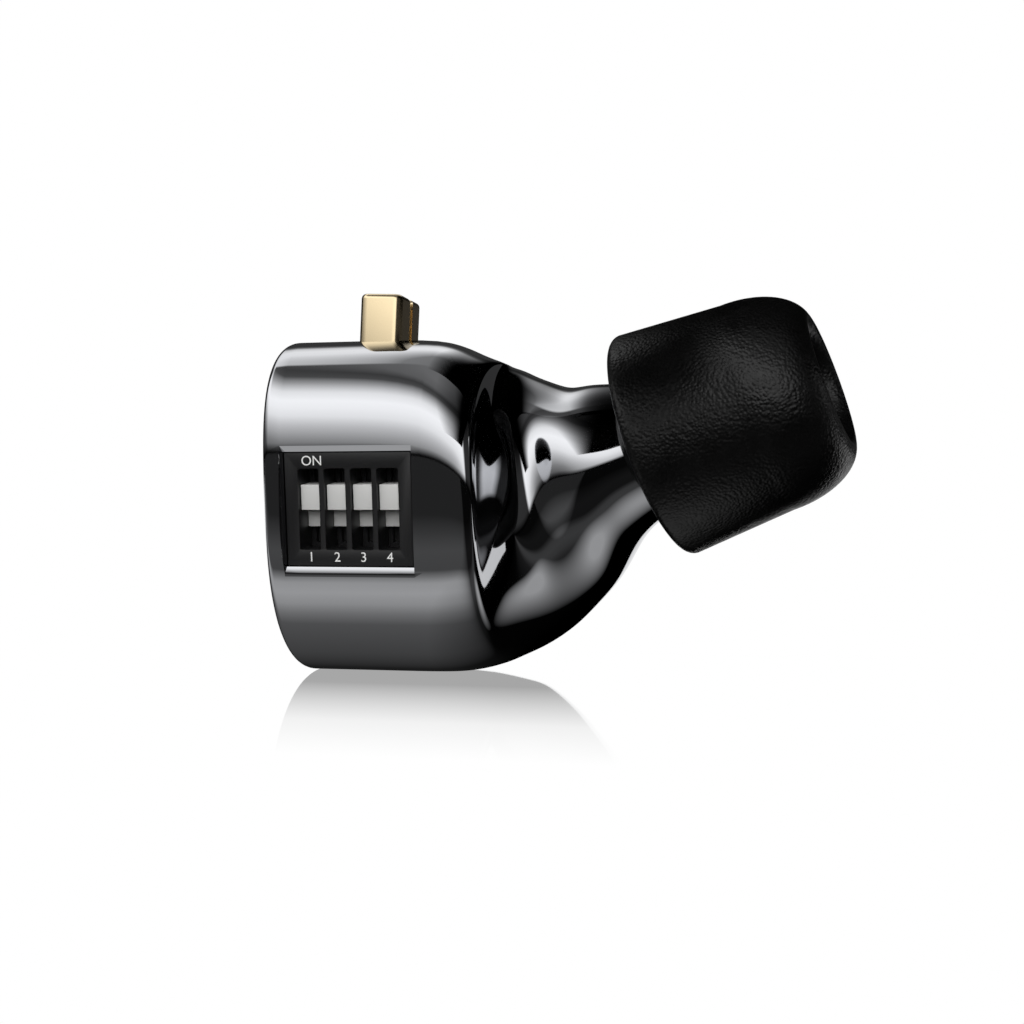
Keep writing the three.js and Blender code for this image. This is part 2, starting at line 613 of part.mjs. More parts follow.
// A slider: a knob in the slot on a wider foot in the chamber behind it.
function makeSlider(k) {
  const x = SLOT_WIDTH / 2 - RUN;
  const knobLow = KNOB_TOP - KNOB_HEIGHT;
  const footTop = SWITCH_FLOOR - CHAMBER_DEPTH + RUN;
  const c = KNOB_CHAMFER;
  const face = (y, inset) =>
    [[-1, knobLow + inset], [1, knobLow + inset], [1, KNOB_TOP - inset], [-1, KNOB_TOP - inset]].map(
      ([side, z]) => new THREE.Vector3(slotX(k) + side * (x - inset), y, z),
    );
  const knob = skin([face(footTop + 0.1, 0), face(KNOB_RECESS + c, 0), face(KNOB_RECESS, c)], false);
  const footX = CHAMBER_WIDTH / 2 - RUN;
  const foot = block(
    [slotX(k) - footX, footTop, knobLow - FOOT_DROP], [slotX(k) + footX, SWITCH_FLOOR - RUN, KNOB_TOP],
  );
  return join(foot, knob);
}

// The sprung contact under a slider.
function makeWiper(k) {
  const middle = KNOB_TOP - (KNOB_HEIGHT + FOOT_DROP) / 2;
  const [width, thickness, height] = WIPER_SIZE;
  return block(
    [slotX(k) - width / 2, SWITCH_FLOOR, middle - height / 2],
    [slotX(k) + width / 2, SWITCH_FLOOR + thickness, middle + height / 2],
  );
}

const boardFront = SWITCH_DEPTH + BOARD_SETBACK;
const boardBack = boardFront + BOARD_THICKNESS;

function makeBoard() {
  const outline = roundedRectangle(BOARD_WIDTH, BOARD_HEIGHT, 0.6);
  const plate = prism(outline, -boardBack, -boardFront).rotateX(Math.PI / 2).translate(BOARD_SHIFT, 0, 0);
  const holes = leads.map((lead) => leadBox(lead, boardFront - 1, boardBack + 1, GAP));
  return cut(plate, ...holes);
}

// Chip resistors and capacitors on the back of the board: [name, x, z, width, height, thickness].
const CHIPS = [
  ["resistor_1", -1.9, 0.9, 1.0, 0.5, 0.35],
  ["resistor_2", -0.5, 0.9, 1.0, 0.5, 0.35],
  ["resistor_3", 0.9, 0.9, 1.0, 0.5, 0.35],
  ["resistor_4", 2.3, 0.9, 1.0, 0.5, 0.35],
  ["capacitor_1", -1.3, -0.6, 1.6, 0.8, 0.6],
  ["capacitor_2", 1.7, -0.6, 1.6, 0.8, 0.6],
];

// ---- The dynamic driver, in its own frame: back at z = 0, front towards +Z ----------------------------

const yokeRadius = MAGNET_RADIUS + COIL_GAP * 2 + COIL_WALL + YOKE_WALL;
const magnetLow = DRIVER_WALL + GAP + YOKE_FLOOR;
const poleLow = magnetLow + MAGNET_DEPTH + GAP;
const poleTop = poleLow + POLE_DEPTH;
const coilLow = poleTop - COIL_LENGTH / 2;
const domeLow = coilLow + COIL_LENGTH + GAP;

const driverPieces = {
  basket: () => turned([
    [REAR_VENT_RADIUS, 0], [DRIVER_RADIUS, 0], [DRIVER_RADIUS, DRIVER_DEPTH],
    [DRIVER_RADIUS - DRIVER_WALL, DRIVER_DEPTH], [DRIVER_RADIUS - DRIVER_WALL, DRIVER_WALL],
    [REAR_VENT_RADIUS, DRIVER_WALL], [REAR_VENT_RADIUS, 0],
  ]),
  yoke: () => turned([
    [0, DRIVER_WALL + GAP], [yokeRadius, DRIVER_WALL + GAP], [yokeRadius, poleTop],
    [yokeRadius - YOKE_WALL, poleTop], [yokeRadius - YOKE_WALL, magnetLow - GAP], [0, magnetLow - GAP],
  ]),
  magnet: () => disc(MAGNET_RADIUS, magnetLow, magnetLow + MAGNET_DEPTH, 24),
  pole: () => disc(MAGNET_RADIUS, poleLow, poleTop, 24),
  coil: () => {
    const inner = MAGNET_RADIUS + COIL_GAP;
    return tube(inner, inner + COIL_WALL, coilLow, coilLow + COIL_LENGTH, 24);
  },
  dome: () => {
    const under = [
      [DOME_RADIUS, 0], [MAGNET_RADIUS + YOKE_WALL, 0],
      [DOME_RADIUS * 0.45, DOME_CROWN * 0.75], [0, DOME_CROWN],
    ];
    const low = under.map(([r, h]) => [r, domeLow + h]).reverse();
    const high = under.map(([r, h]) => [r, domeLow + h + DOME_THICKNESS]);
    return turned([...low, ...high], 24);
  },
  surround: () => {
    const inner = DOME_RADIUS + GAP;
    const outer = DRIVER_RADIUS - DRIVER_WALL - GAP;
    const middle = (inner + outer) / 2;
    const line = [[outer, 0], [middle, SURROUND_RISE], [inner, 0]];
    const high = line.map(([r, h]) => [r, domeLow + h + DOME_THICKNESS]);
    const low = line.map(([r, h]) => [r, domeLow + h]).reverse();
    return turned([...low, ...high, low[0]], 24);
  },
};

// ---- Assembly ------------------------------------------------------------------------------------------

const root = new THREE.Group();

function add(parent, name, geometry, material) {
  const mesh = new THREE.Mesh(geometry, material);
  mesh.name = name;
  parent.add(mesh);
  return mesh;
}

add(root, "shell", makeShell(), BLACK_CHROME);
add(root, "faceplate", makeFaceplate(), BLACK_CHROME);
add(root, "driver_bracket", makeBracket(), TPU);
const ventLow = BAND_HALF_DEPTH - WALL / 2 - VENT_MESH_THICKNESS / 2;
add(root, "vent_mesh", ventDisc(VENT_RADIUS - GAP, ventLow, ventLow + VENT_MESH_THICKNESS), STEEL);

const nozzleGroup = new THREE.Group();
nozzleGroup.position.set(...NOZZLE_SEAT);
nozzleGroup.quaternion.setFromUnitVectors(UP, nozzleAxis);
root.add(nozzleGroup);
add(nozzleGroup, "nozzle", makeNozzle(), BLACK_CHROME);
add(
  nozzleGroup, "nozzle_mesh",
  grille(meshSeat - GAP, MESH_THICKNESS, MESH_HOLE, MESH_PITCH, nozzleFront - MESH_THICKNESS), STEEL,
);
const damperLow = NECK_END + DAMPER_START;
const damper = disc(NOZZLE_BORE - GAP, damperLow, damperLow + DAMPER_LENGTH, 20);
add(nozzleGroup, "acoustic_damper", damper, FOAM);
add(nozzleGroup, "ear_tip_core", makeCore(), TPU);
add(nozzleGroup, "ear_tip_foam", makeFoam(), FOAM);

const armatureMiddle = (side) => side * (ARMATURE_SIZE[0] / 2 + GAP);
["tweeter", "midrange"].forEach((voice, k) => {
  const [thick, wide, long] = ARMATURE_SIZE;
  const middle = armatureMiddle(k === 0 ? 1 : -1);
  const front = ARMATURE_REAR + long;
  const can = block([middle - thick / 2, -wide / 2, ARMATURE_REAR], [middle + thick / 2, wide / 2, front]);
  const spout = tube(SPOUT_RADIUS - SPOUT_WALL, SPOUT_RADIUS, front - GAP, front + SPOUT_LENGTH, 12);
  add(nozzleGroup, voice + "_armature", join(can, spout.translate(middle, 0, 0)), STEEL);
  const hoseBore = SPOUT_RADIUS + GAP;
  const hoseEnd = NECK_END - NOZZLE_SPIGOT - HOSE_END_GAP;
  const hose = tube(hoseBore, hoseBore + HOSE_WALL, front + GAP, hoseEnd, 12);
  add(nozzleGroup, voice + "_sound_tube", hose.translate(middle, 0, 0), TPU);
});

const switchGroup = new THREE.Group();
switchGroup.applyMatrix4(switchFrame);
root.add(switchGroup);
add(switchGroup, "switch_cover", makeSwitchCover(), SWITCH_BLACK);
add(switchGroup, "switch_base", makeSwitchBase(), SWITCH_BLACK);
for (const k of switches) {
  add(switchGroup, "switch_slider_" + (k + 1), makeSlider(k), SWITCH_WHITE);
  add(switchGroup, "switch_wiper_" + (k + 1), makeWiper(k), BRASS);
}
leads.forEach((lead, n) => {
  const bar = leadBox(lead, SWITCH_FLOOR + LEAD_SETBACK, boardBack + LEAD_END, 0);
  add(switchGroup, "switch_lead_" + (n + 1), bar, BRASS);
});
add(switchGroup, "circuit_board", makeBoard(), BOARD_GREEN);
for (const [name, x, z, width, height, thickness] of CHIPS) {
  const low = boardBack + GAP;
  add(
    switchGroup, name,
    block([x - width / 2, low, z - height / 2], [x + width / 2, low + thickness, z + height / 2]), CERAMIC,
  );
}

const driverGroup = new THREE.Group();
driverGroup.position.set(...DRIVER_CENTRE);
driverGroup.rotation.y = Math.PI / 2;
root.add(driverGroup);
add(driverGroup, "driver_basket", driverPieces.basket(), STEEL);
add(driverGroup, "driver_yoke", driverPieces.yoke(), STEEL);
add(driverGroup, "driver_magnet", driverPieces.magnet(), MAGNET_NICKEL);
add(driverGroup, "driver_pole_plate", driverPieces.pole(), STEEL);
add(driverGroup, "voice_coil", driverPieces.coil(), COPPER);
add(driverGroup, "diaphragm", driverPieces.dome(), FILM);
add(driverGroup, "diaphragm_surround", driverPieces.surround(), FILM);
add(
  driverGroup, "driver_grille",
  grille(DRIVER_RADIUS, DRIVER_GRILLE.thickness, DRIVER_GRILLE.hole, DRIVER_GRILLE.pitch, DRIVER_DEPTH + GAP),
  STEEL,
);

const socketGroup = new THREE.Group();
socketGroup.applyMatrix4(socketFrame);
root.add(socketGroup);
const insertWidth = SOCKET_WIDTH - 2 * SOCKET_WALL;
const insertDepth = SOCKET_DEPTH - 2 * SOCKET_WALL;
const insertCorner = SOCKET_CORNER - SOCKET_WALL + 0.1;
const contactRadius = PIN_HOLE + CONTACT_WALL;
const contacts = [-1, 1].map((side) => side * PIN_PITCH / 2);
const sleeveOutline = roundedRectangle(SOCKET_WIDTH, SOCKET_DEPTH, SOCKET_CORNER, SOCKET_NOTCH);
const sleeveBore = roundedRectangle(insertWidth, insertDepth, insertCorner);
add(
  socketGroup, "socket_sleeve",
  cut(
    prism(sleeveOutline, -SOCKET_BELOW, SOCKET_ABOVE),
    prism(sleeveBore, -SOCKET_BELOW - 1, SOCKET_ABOVE + 1),
  ),
  GOLD,
);
add(
  socketGroup, "socket_insert",
  cut(
    prism(
      roundedRectangle(insertWidth - 2 * GAP, insertDepth - 2 * GAP, insertCorner - GAP),
      -SOCKET_BELOW, SOCKET_ABOVE - INSERT_RECESS,
    ),
    ...contacts.map((y) =>
      disc(contactRadius + RUN, -SOCKET_BELOW - 1, SOCKET_ABOVE + 1, 16).translate(0, y, 0),
    ),
  ),
  SWITCH_BLACK,
);
["front", "rear"].forEach((place, k) => {
  const [pin, reach] = SOLDER_PIN;
  const high = SOCKET_ABOVE - CONTACT_RECESS;
  const floor = -SOCKET_BELOW + 0.4;
  const sleeve = turned([
    [0, -SOCKET_BELOW - reach], [pin, -SOCKET_BELOW - reach], [pin, -SOCKET_BELOW],
    [contactRadius, -SOCKET_BELOW], [contactRadius, high], [PIN_HOLE, high], [PIN_HOLE, floor], [0, floor],
  ], 16);
  add(socketGroup, place + "_pin_contact", sleeve.translate(0, contacts[k], 0), GOLD);
});

// ---- Wires -----------------------------------------------------------------------------------------------

const onBoard = (x, z, off) =>
  new THREE.Vector3(x, boardBack + GAP + off, z).applyMatrix4(switchFrame);
const underContact = (k, drop) =>
  new THREE.Vector3(0, contacts[k], -SOCKET_BELOW - SOLDER_PIN[1] - GAP - drop).applyMatrix4(socketFrame);
// A place beside the dynamic driver's basket, at an angle around it, and at a distance from its side
const besideDriver = (x, angle, off) => {
  const reach = DRIVER_RADIUS + GAP + off;
  return new THREE.Vector3(
    x, DRIVER_CENTRE[1] + reach * Math.cos(angle * DEG), DRIVER_CENTRE[2] + reach * Math.sin(angle * DEG),
  );
};
// A place behind an armature driver, and to the switch's side of it
const behindArmature = (side, off, aside = 0) => {
  nozzleGroup.updateMatrixWorld(true);
  const place = new THREE.Vector3(armatureMiddle(side), 0, ARMATURE_REAR - GAP - off);
  return place.applyMatrix4(nozzleGroup.matrixWorld).add(new THREE.Vector3(0, -aside, 0));
};

// A wire that leaves and arrives square to what it's soldered to.
function wire(places) {
  const shape = new THREE.Shape(circle(WIRE_RADIUS, 6));
  const path = new THREE.CatmullRomCurve3(places);
  return new THREE.ExtrudeGeometry(shape, { steps: 14, bevelEnabled: false, extrudePath: path });
}

const WIRES = [
  ["socket_wire_red", INSULATION_RED, [
    underContact(0, 0), underContact(0, 0.35),
    onBoard(-0.7, 3.4, 0.75), onBoard(-0.7, 3.4, 0.35), onBoard(-0.7, 3.4, 0),
  ]],
  ["socket_wire_blue", INSULATION_BLUE, [
    underContact(1, 0), underContact(1, 0.4),
    onBoard(0.5, 3.3, 1.0), onBoard(0.5, 3.3, 0.35), onBoard(0.5, 3.3, 0),
  ]],
  ["driver_wire_red", INSULATION_RED, [
    onBoard(-0.8, -3.1, 0), onBoard(-0.8, -3.1, 0.4), besideDriver(3.5, 218, 0.5), besideDriver(3.5, 220, 0),
  ]],
  ["driver_wire_blue", INSULATION_BLUE, [
    onBoard(0.6, -3.1, 0), onBoard(0.6, -3.1, 0.4), besideDriver(4.9, 218, 0.5), besideDriver(4.9, 220, 0),
  ]],
  ["midrange_wire", INSULATION_RED, [
    onBoard(2.6, 3.0, 0), onBoard(2.6, 3.0, 0.5),
    behindArmature(-1, 0.5, 1.6), behindArmature(-1, 0.35), behindArmature(-1, 0),
  ]],
  ["tweeter_wire", INSULATION_BLUE, [
    onBoard(2.6, -2.9, 0), onBoard(2.6, -2.9, 0.5),
    behindArmature(1, 0.5, 1.6), behindArmature(1, 0.35), behindArmature(1, 0),
  ]],
];
for (const [name, colour, places] of WIRES) {
  add(root, name, wire(places), colour);
}

export default root;
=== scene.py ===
"""The looks of one in-ear monitor: a dark mirror-plated shell, a slide switch, a gold socket and a foam tip.

Lengths in the classes below are millimetres and turn to metres as a mesh is placed.
"""

import json
import logging
import math
from collections.abc import Callable, Iterable, Sequence
from dataclasses import dataclass, field
from enum import Enum

import bpy
import numpy as np
from mathutils import Matrix, Vector


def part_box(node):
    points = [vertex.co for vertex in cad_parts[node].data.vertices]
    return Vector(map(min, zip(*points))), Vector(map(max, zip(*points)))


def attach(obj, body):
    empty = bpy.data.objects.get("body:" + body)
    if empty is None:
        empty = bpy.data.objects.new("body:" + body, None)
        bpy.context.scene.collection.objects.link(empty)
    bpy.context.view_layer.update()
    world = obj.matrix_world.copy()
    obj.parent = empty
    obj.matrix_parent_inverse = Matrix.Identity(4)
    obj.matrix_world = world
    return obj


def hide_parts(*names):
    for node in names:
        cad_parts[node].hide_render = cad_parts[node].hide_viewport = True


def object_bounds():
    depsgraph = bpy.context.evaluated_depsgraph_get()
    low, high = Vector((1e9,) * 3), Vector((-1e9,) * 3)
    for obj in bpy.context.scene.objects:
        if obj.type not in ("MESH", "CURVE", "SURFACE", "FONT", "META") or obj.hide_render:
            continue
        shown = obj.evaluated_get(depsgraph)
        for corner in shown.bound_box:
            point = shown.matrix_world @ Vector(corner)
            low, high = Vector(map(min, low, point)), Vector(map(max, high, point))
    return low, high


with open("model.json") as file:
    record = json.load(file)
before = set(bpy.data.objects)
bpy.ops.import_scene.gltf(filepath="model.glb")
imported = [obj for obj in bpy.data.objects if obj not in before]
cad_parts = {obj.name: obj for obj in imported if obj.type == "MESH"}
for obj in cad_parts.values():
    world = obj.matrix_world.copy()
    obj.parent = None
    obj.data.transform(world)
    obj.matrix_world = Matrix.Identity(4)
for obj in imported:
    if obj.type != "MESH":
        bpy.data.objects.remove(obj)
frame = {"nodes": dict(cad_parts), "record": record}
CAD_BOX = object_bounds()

logging.basicConfig(level=logging.INFO, format="%(message)s")
LOG = logging.getLogger("monitor")

MM = 0.001  # metres in a millimetre
EARPIECE = "earpiece"


# ---- Where things are ------------------------------------------------------------------------------


def joint_axis(name: str) -> Vector:
    """The direction of a joint at rest.

    Args:
        name: The joint's name in the record.

    Returns:
        Its axis as a unit vector.
    """
    found = next(j for j in frame["record"]["behaviour"]["joints"] if j["name"] == name)
    return Vector(found["axis"]).normalized()


def mount(name: str) -> tuple[Vector, Vector]:
    """A mount's place and the way it faces, from the record.

    Args:
        name: The mount's name.

    Returns:
        Its point in metres and its axis.
    """
    found = next(m for m in frame["record"]["mounts"] if m["name"] == name)
    return Vector(found["pos_m"]), Vector(found["axis"]).normalized()


def middle(node: str) -> Vector:
    """The centre of a node's box, in metres."""
    low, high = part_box(node)
    return (Vector(low) + Vector(high)) / 2


def place(origin: Vector, along: Vector, across: Vector) -> Matrix:
    """A frame whose Z runs along one direction and whose X leans as near as it can to another.

    Args:
        origin: The frame's origin in metres.
        along: The direction of its Z.
        across: The direction that its X is near to.

    Returns:
        The matrix from that frame, in millimetres, to the row frame, in metres.
    """
    z = along.normalized()
    x = (across - across.dot(z) * z).normalized()
    y = z.cross(x)
    turn = Matrix((x, y, z)).transposed().to_4x4()
    return Matrix.Translation(origin) @ turn @ Matrix.Scale(MM, 4)


NOZZLE_AXIS = joint_axis("ear_tip_pull")
SWITCH_UP = joint_axis("slider_1_travel")


# ---- Mesh tools --------------------------------------------------------------------------------------


def deselect() -> None:
    """Leaves nothing selected and no mesh in edit mode."""
    if bpy.context.object and bpy.context.object.mode != "OBJECT":
        bpy.ops.object.mode_set(mode="OBJECT")
    bpy.ops.object.select_all(action="DESELECT")


def activate(piece: bpy.types.Object) -> None:
    """Makes a piece the only one selected, and the active one."""
    deselect()
    piece.select_set(True)
    bpy.context.view_layer.objects.active = piece


def added(name: str) -> bpy.types.Object:
    """The object that an operator has just added, with its name set."""
    piece = bpy.context.object
    piece.name = name
    piece.data.name = name
    return piece


def box_piece(name: str, low: Sequence[float], high: Sequence[float]) -> bpy.types.Object:
    """A cube primitive stretched between two corners.

    Args:
        name: The piece's name.
        low: Its lowest corner in millimetres.
        high: Its highest corner.

    Returns:
        The new object, with its place in its mesh.
    """
    deselect()
    size = Vector(high) - Vector(low)
    centre = (Vector(high) + Vector(low)) / 2
    bpy.ops.mesh.primitive_cube_add(size=1, location=centre, scale=size)
    piece = added(name)
    bpy.ops.object.transform_apply(location=True, rotation=True, scale=True)
    return piece


def disc_piece(name: str, radius: float, low: float, high: float, sides: int = 64) -> bpy.types.Object:
    """A cylinder primitive about Z between two heights.

    Args:
        name: The piece's name.
        radius: Its radius in millimetres.
        low: The height of its underside.
        high: The height of its top.
        sides: Its number of sides.

    Returns:
        The new object.
    """
    deselect()
    bpy.ops.mesh.primitive_cylinder_add(
        vertices=sides, radius=radius, depth=high - low, location=(0, 0, (low + high) / 2)
    )
    piece = added(name)
    bpy.ops.object.transform_apply(location=True, rotation=True, scale=True)
    return piece


def turned_piece(name: str, profile: Sequence[tuple[float, float]], steps: int = 96) -> bpy.types.Object:
    """A closed profile spun once round Z.

    Args:
        name: The piece's name.
        profile: [radius, height] points round a closed outline, in millimetres.
        steps: The number of facets round the piece.

    Returns:
        The new object, closed and with its faces outwards.
    """
    deselect()
    bpy.ops.mesh.primitive_circle_add(vertices=len(profile), radius=1, fill_type="NOTHING")
    piece = added(name)
    for vertex, (radius, height) in zip(piece.data.vertices, profile):
        vertex.co = (radius, 0, height)
    bpy.ops.object.mode_set(mode="EDIT")
    bpy.ops.mesh.select_all(action="SELECT")
    bpy.ops.mesh.spin(steps=steps, angle=2 * math.pi, center=(0, 0, 0), axis=(0, 0, 1))
    bpy.ops.mesh.select_all(action="SELECT")
    bpy.ops.mesh.remove_doubles(threshold=1e-4)
    bpy.ops.mesh.normals_make_consistent(inside=False)
    bpy.ops.object.mode_set(mode="OBJECT")
    return piece


def select_edges(piece: bpy.types.Object, wanted: Callable[[Vector, Vector], bool]) -> None:
    """Selects the edges whose two ends pass a test, and leaves the piece in edit mode.

    Args:
        piece: The piece, active and in object mode.
        wanted: Takes the edge's two ends, and says whether it is wanted.
    """
    bpy.ops.object.mode_set(mode="EDIT")
    bpy.ops.mesh.select_mode(type="EDGE")
    bpy.ops.mesh.select_all(action="DESELECT")
    bpy.ops.object.mode_set(mode="OBJECT")
    points = [v.co.copy() for v in piece.data.vertices]
    for edge in piece.data.edges:
        edge.select = wanted(points[edge.vertices[0]], points[edge.vertices[1]])
    bpy.ops.object.mode_set(mode="EDIT")


def round_edges(
    piece: bpy.types.Object, radius: float, segments: int, wanted: Callable[[Vector, Vector], bool]
) -> None:
    """Rounds the edges that pass a test.

    Args:
        piece: The piece.
        radius: The rounding's radius in millimetres.
        segments: The number of facets across it.
        wanted: Takes an edge's two ends, and says whether it is rounded.
    """
    activate(piece)
    select_edges(piece, wanted)
    bpy.ops.mesh.bevel(offset=radius, segments=segments, profile=0.5, affect="EDGES")
    bpy.ops.object.mode_set(mode="OBJECT")


def soften(piece: bpy.types.Object, width: float, segments: int = 2, angle: float = 40) -> None:
    """Breaks every sharp edge of a piece with a narrow applied bevel.

    Args:
        piece: The piece.
        width: The bevel's width in millimetres.
        segments: The number of facets across it.
        angle: The least angle, in degrees, of an edge that is broken.
    """
    activate(piece)
    bevel = piece.modifiers.new("broken_edges", "BEVEL")
    bevel.width = width
    bevel.segments = segments
    bevel.limit_method = "ANGLE"
    bevel.angle_limit = math.radians(angle)
    bevel.use_clamp_overlap = True
    bpy.ops.object.modifier_apply(modifier=bevel.name)


class Joining(Enum):
    """How one solid changes another."""

    CUT = "DIFFERENCE"
    WELD = "UNION"


def combine(piece: bpy.types.Object, tools: Iterable[bpy.types.Object], how: Joining = Joining.CUT) -> None:
    """Cuts tools out of a piece, or welds them to it, and removes them.

    Args:
        piece: The piece that is changed.
        tools: The solids that change it.
        how: Whether they are cut out or welded on.
    """
    for tool in tools:
        activate(piece)
        change = piece.modifiers.new(how.name.lower(), "BOOLEAN")
        change.operation = how.value
        change.solver = "EXACT"
        change.object = tool
        bpy.ops.object.modifier_apply(modifier=change.name)
        bpy.data.objects.remove(tool, do_unlink=True)


def duplicate(piece: bpy.types.Object, name: str, offset: Vector) -> bpy.types.Object:
    """A copy of a piece with a mesh of its own, moved by an offset.

    Args:
        piece: The piece that is copied.
        name: The copy's name.
        offset: How far its mesh is moved, in the piece's own units.

    Returns:
        The copy.
    """
    copy = piece.copy()
    copy.data = piece.data.copy()
    copy.name = name
    copy.data.name = name
    bpy.context.scene.collection.objects.link(copy)
    copy.data.transform(Matrix.Translation(offset))
    return copy


def settle(
    piece: bpy.types.Object, where: Matrix, body: str, nodes: Sequence[str] = (), angle: float = 35
) -> bpy.types.Object:
    """Puts a finished piece in its place, smooths its shading and hands it to the body it rides on.

    Args:
        piece: The piece, modelled in millimetres.
        where: The matrix from its own frame to the row frame.
        body: The body that it rides on.
        nodes: The CAD nodes that it replaces.
        angle: Edges sharper than this, in degrees, stay crisp.

    Returns:
        The same piece.
    """
    activate(piece)
    piece.data.transform(where)
    bpy.ops.object.shade_smooth_by_angle(angle=math.radians(angle))
    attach(piece, body)
    if nodes:
        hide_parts(*nodes)
    LOG.info("piece %s: %d faces, rides on %s", piece.name, len(piece.data.polygons), body)
    return piece


def dress(piece: bpy.types.Object, material: bpy.types.Material) -> None:
    """Gives a piece one material in place of all it had."""
    piece.data.materials.clear()
    piece.data.materials.append(material)


# ---- Finishes -----------------------------------------------------------------------------------------


def linear(colour: str) -> tuple[float, float, float, float]:
    """Turns an sRGB hex value to linear light.

    Args:
        colour: A value such as "1a2b3c".

    Returns:
        Red, green, blue and a full alpha.
    """
    parts = [int(colour[k : k + 2], 16) / 255 for k in (0, 2, 4)]
    light = [c / 12.92 if c <= 0.04045 else ((c + 0.055) / 1.055) ** 2.4 for c in parts]
    return (light[0], light[1], light[2], 1.0)


def add_node(
    tree: bpy.types.NodeTree,
    kind: str,
    values: dict[str, object] | None = None,
    links: dict[str, bpy.types.NodeSocket] | None = None,
    **settings: object,
) -> bpy.types.Node:
    """Adds a node, sets it up and links it.

    Args:
        tree: The node tree that it joins.
        kind: The node's type name.
        values: Values of its input sockets, by name.
        links: Sockets that feed its inputs, by name.
        **settings: The node's own properties.

    Returns:
        The node.
    """
    made = tree.nodes.new(kind)
    for key, value in settings.items():
        setattr(made, key, value)
    for key, value in (values or {}).items():
        made.inputs[key].default_value = value
    for key, source in (links or {}).items():
        tree.links.new(source, made.inputs[key])
    return made


def blank_material(name: str) -> tuple[bpy.types.Material, bpy.types.NodeTree]:
    """A material with an empty node tree.

    Args:
        name: The material's name.

    Returns:
        The material and its tree.
    """
    material = bpy.data.materials.new(name)
    material.use_nodes = True
    material.node_tree.nodes.clear()
    return material, material.node_tree


def ramp(
    tree: bpy.types.NodeTree, source: bpy.types.NodeSocket, stops: Sequence[tuple[float, float]]
) -> bpy.types.NodeSocket:
    """A grey scale that follows a value through a few stops.

    Args:
        tree: The node tree.
        source: The socket whose value, from 0 to 1, is looked up.
        stops: [position, value] pairs in order.

    Returns:
        The socket of the looked-up value.
    """
    made = add_node(tree, "ShaderNodeValToRGB", links={"Fac": source})
    elements = made.color_ramp.elements
    elements.remove(elements[1])
    elements[0].position = stops[0][0]
    elements[0].color = (*[stops[0][1]] * 3, 1)
    for position, value in stops[1:]:
        elements.new(position).color = (value, value, value, 1)
    return made.outputs["Color"]


@dataclass(frozen=True)
class PlatedMetal:
    """Polished metal under a thin bright plating: a clean mirror with the faint haze of handling.

    The haze varies over a few millimetres, and a very fine ripple keeps long reflections from looking ruled.
    """

    name: str
    colour: str
    roughness: float = 0.035
    haze: float = 0.03
    haze_mm: float = 3.5
    ripple_mm: float = 1.6
    ripple: float = 0.004
    ripple_depth_mm: float = 0.02

    def build(self) -> bpy.types.Material:
        """Makes the material."""
        material, tree = blank_material(self.name)
        where = add_node(tree, "ShaderNodeTexCoord").outputs["Object"]
        cloud = add_node(
            tree,
            "ShaderNodeTexNoise",
            {"Scale": 1 / (self.haze_mm * MM), "Detail": 3.0, "Roughness": 0.55},
            {"Vector": where},
        )
        dull = ramp(
            tree, cloud.outputs["Fac"], [(0.35, self.roughness), (0.75, self.roughness + self.haze)]
        )
        wave = add_node(tree, "ShaderNodeTexNoise", {"Scale": 1 / (self.ripple_mm * MM)}, {"Vector": where})
        bump = add_node(
            tree,
            "ShaderNodeBump",
            {"Strength": self.ripple, "Distance": self.ripple_depth_mm * MM},
            {"Height": wave.outputs["Fac"]},
        )
        shader = add_node(
            tree,
            "ShaderNodeBsdfPrincipled",
            {"Base Color": linear(self.colour), "Metallic": 1.0},
            {"Roughness": dull, "Normal": bump.outputs["Normal"]},
        )
        add_node(tree, "ShaderNodeOutputMaterial", links={"Surface": shader.outputs["BSDF"]})
        return material


@dataclass(frozen=True)
class Foam:
    """Slow-rebound polyurethane foam with a moulded skin: near black, satin, with a fine leathery grain.

    The grain is pebbles about a seventh of a millimetre across, over soft creases.
    """

    name: str
    colour: str
    pebble_mm: float = 0.14
    crease_mm: float = 1.1
    roughness: float = 0.36
    depth_mm: float = 0.03

    def build(self) -> bpy.types.Material:
        """Makes the material."""
        material, tree = blank_material(self.name)
        where = add_node(tree, "ShaderNodeTexCoord").outputs["Object"]
        pebbles = add_node(
            tree,
            "ShaderNodeTexVoronoi",
            {"Scale": 1 / (self.pebble_mm * MM), "Smoothness": 0.6, "Randomness": 1.0},
            {"Vector": where},
            feature="SMOOTH_F1",
        )
        creases = add_node(
            tree,
            "ShaderNodeTexNoise",
            {"Scale": 1 / (self.crease_mm * MM), "Detail": 4.0, "Roughness": 0.6},
            {"Vector": where},
        )
        both = add_node(
            tree,
            "ShaderNodeMath",
            links={0: creases.outputs["Fac"], 1: pebbles.outputs["Distance"]},
            operation="SUBTRACT",
        )
        bump = add_node(
            tree,
            "ShaderNodeBump",
            {"Strength": 0.9, "Distance": self.depth_mm * MM},
            {"Height": both.outputs["Value"]},
        )
        dull = ramp(
            tree, creases.outputs["Fac"], [(0.3, self.roughness - 0.06), (0.7, self.roughness + 0.08)]
        )
        shader = add_node(
            tree,
            "ShaderNodeBsdfPrincipled",
            {"Base Color": linear(self.colour), "Specular IOR Level": 0.42},
            {"Roughness": dull, "Normal": bump.outputs["Normal"]},
        )
        add_node(tree, "ShaderNodeOutputMaterial", links={"Surface": shader.outputs["BSDF"]})
        return material


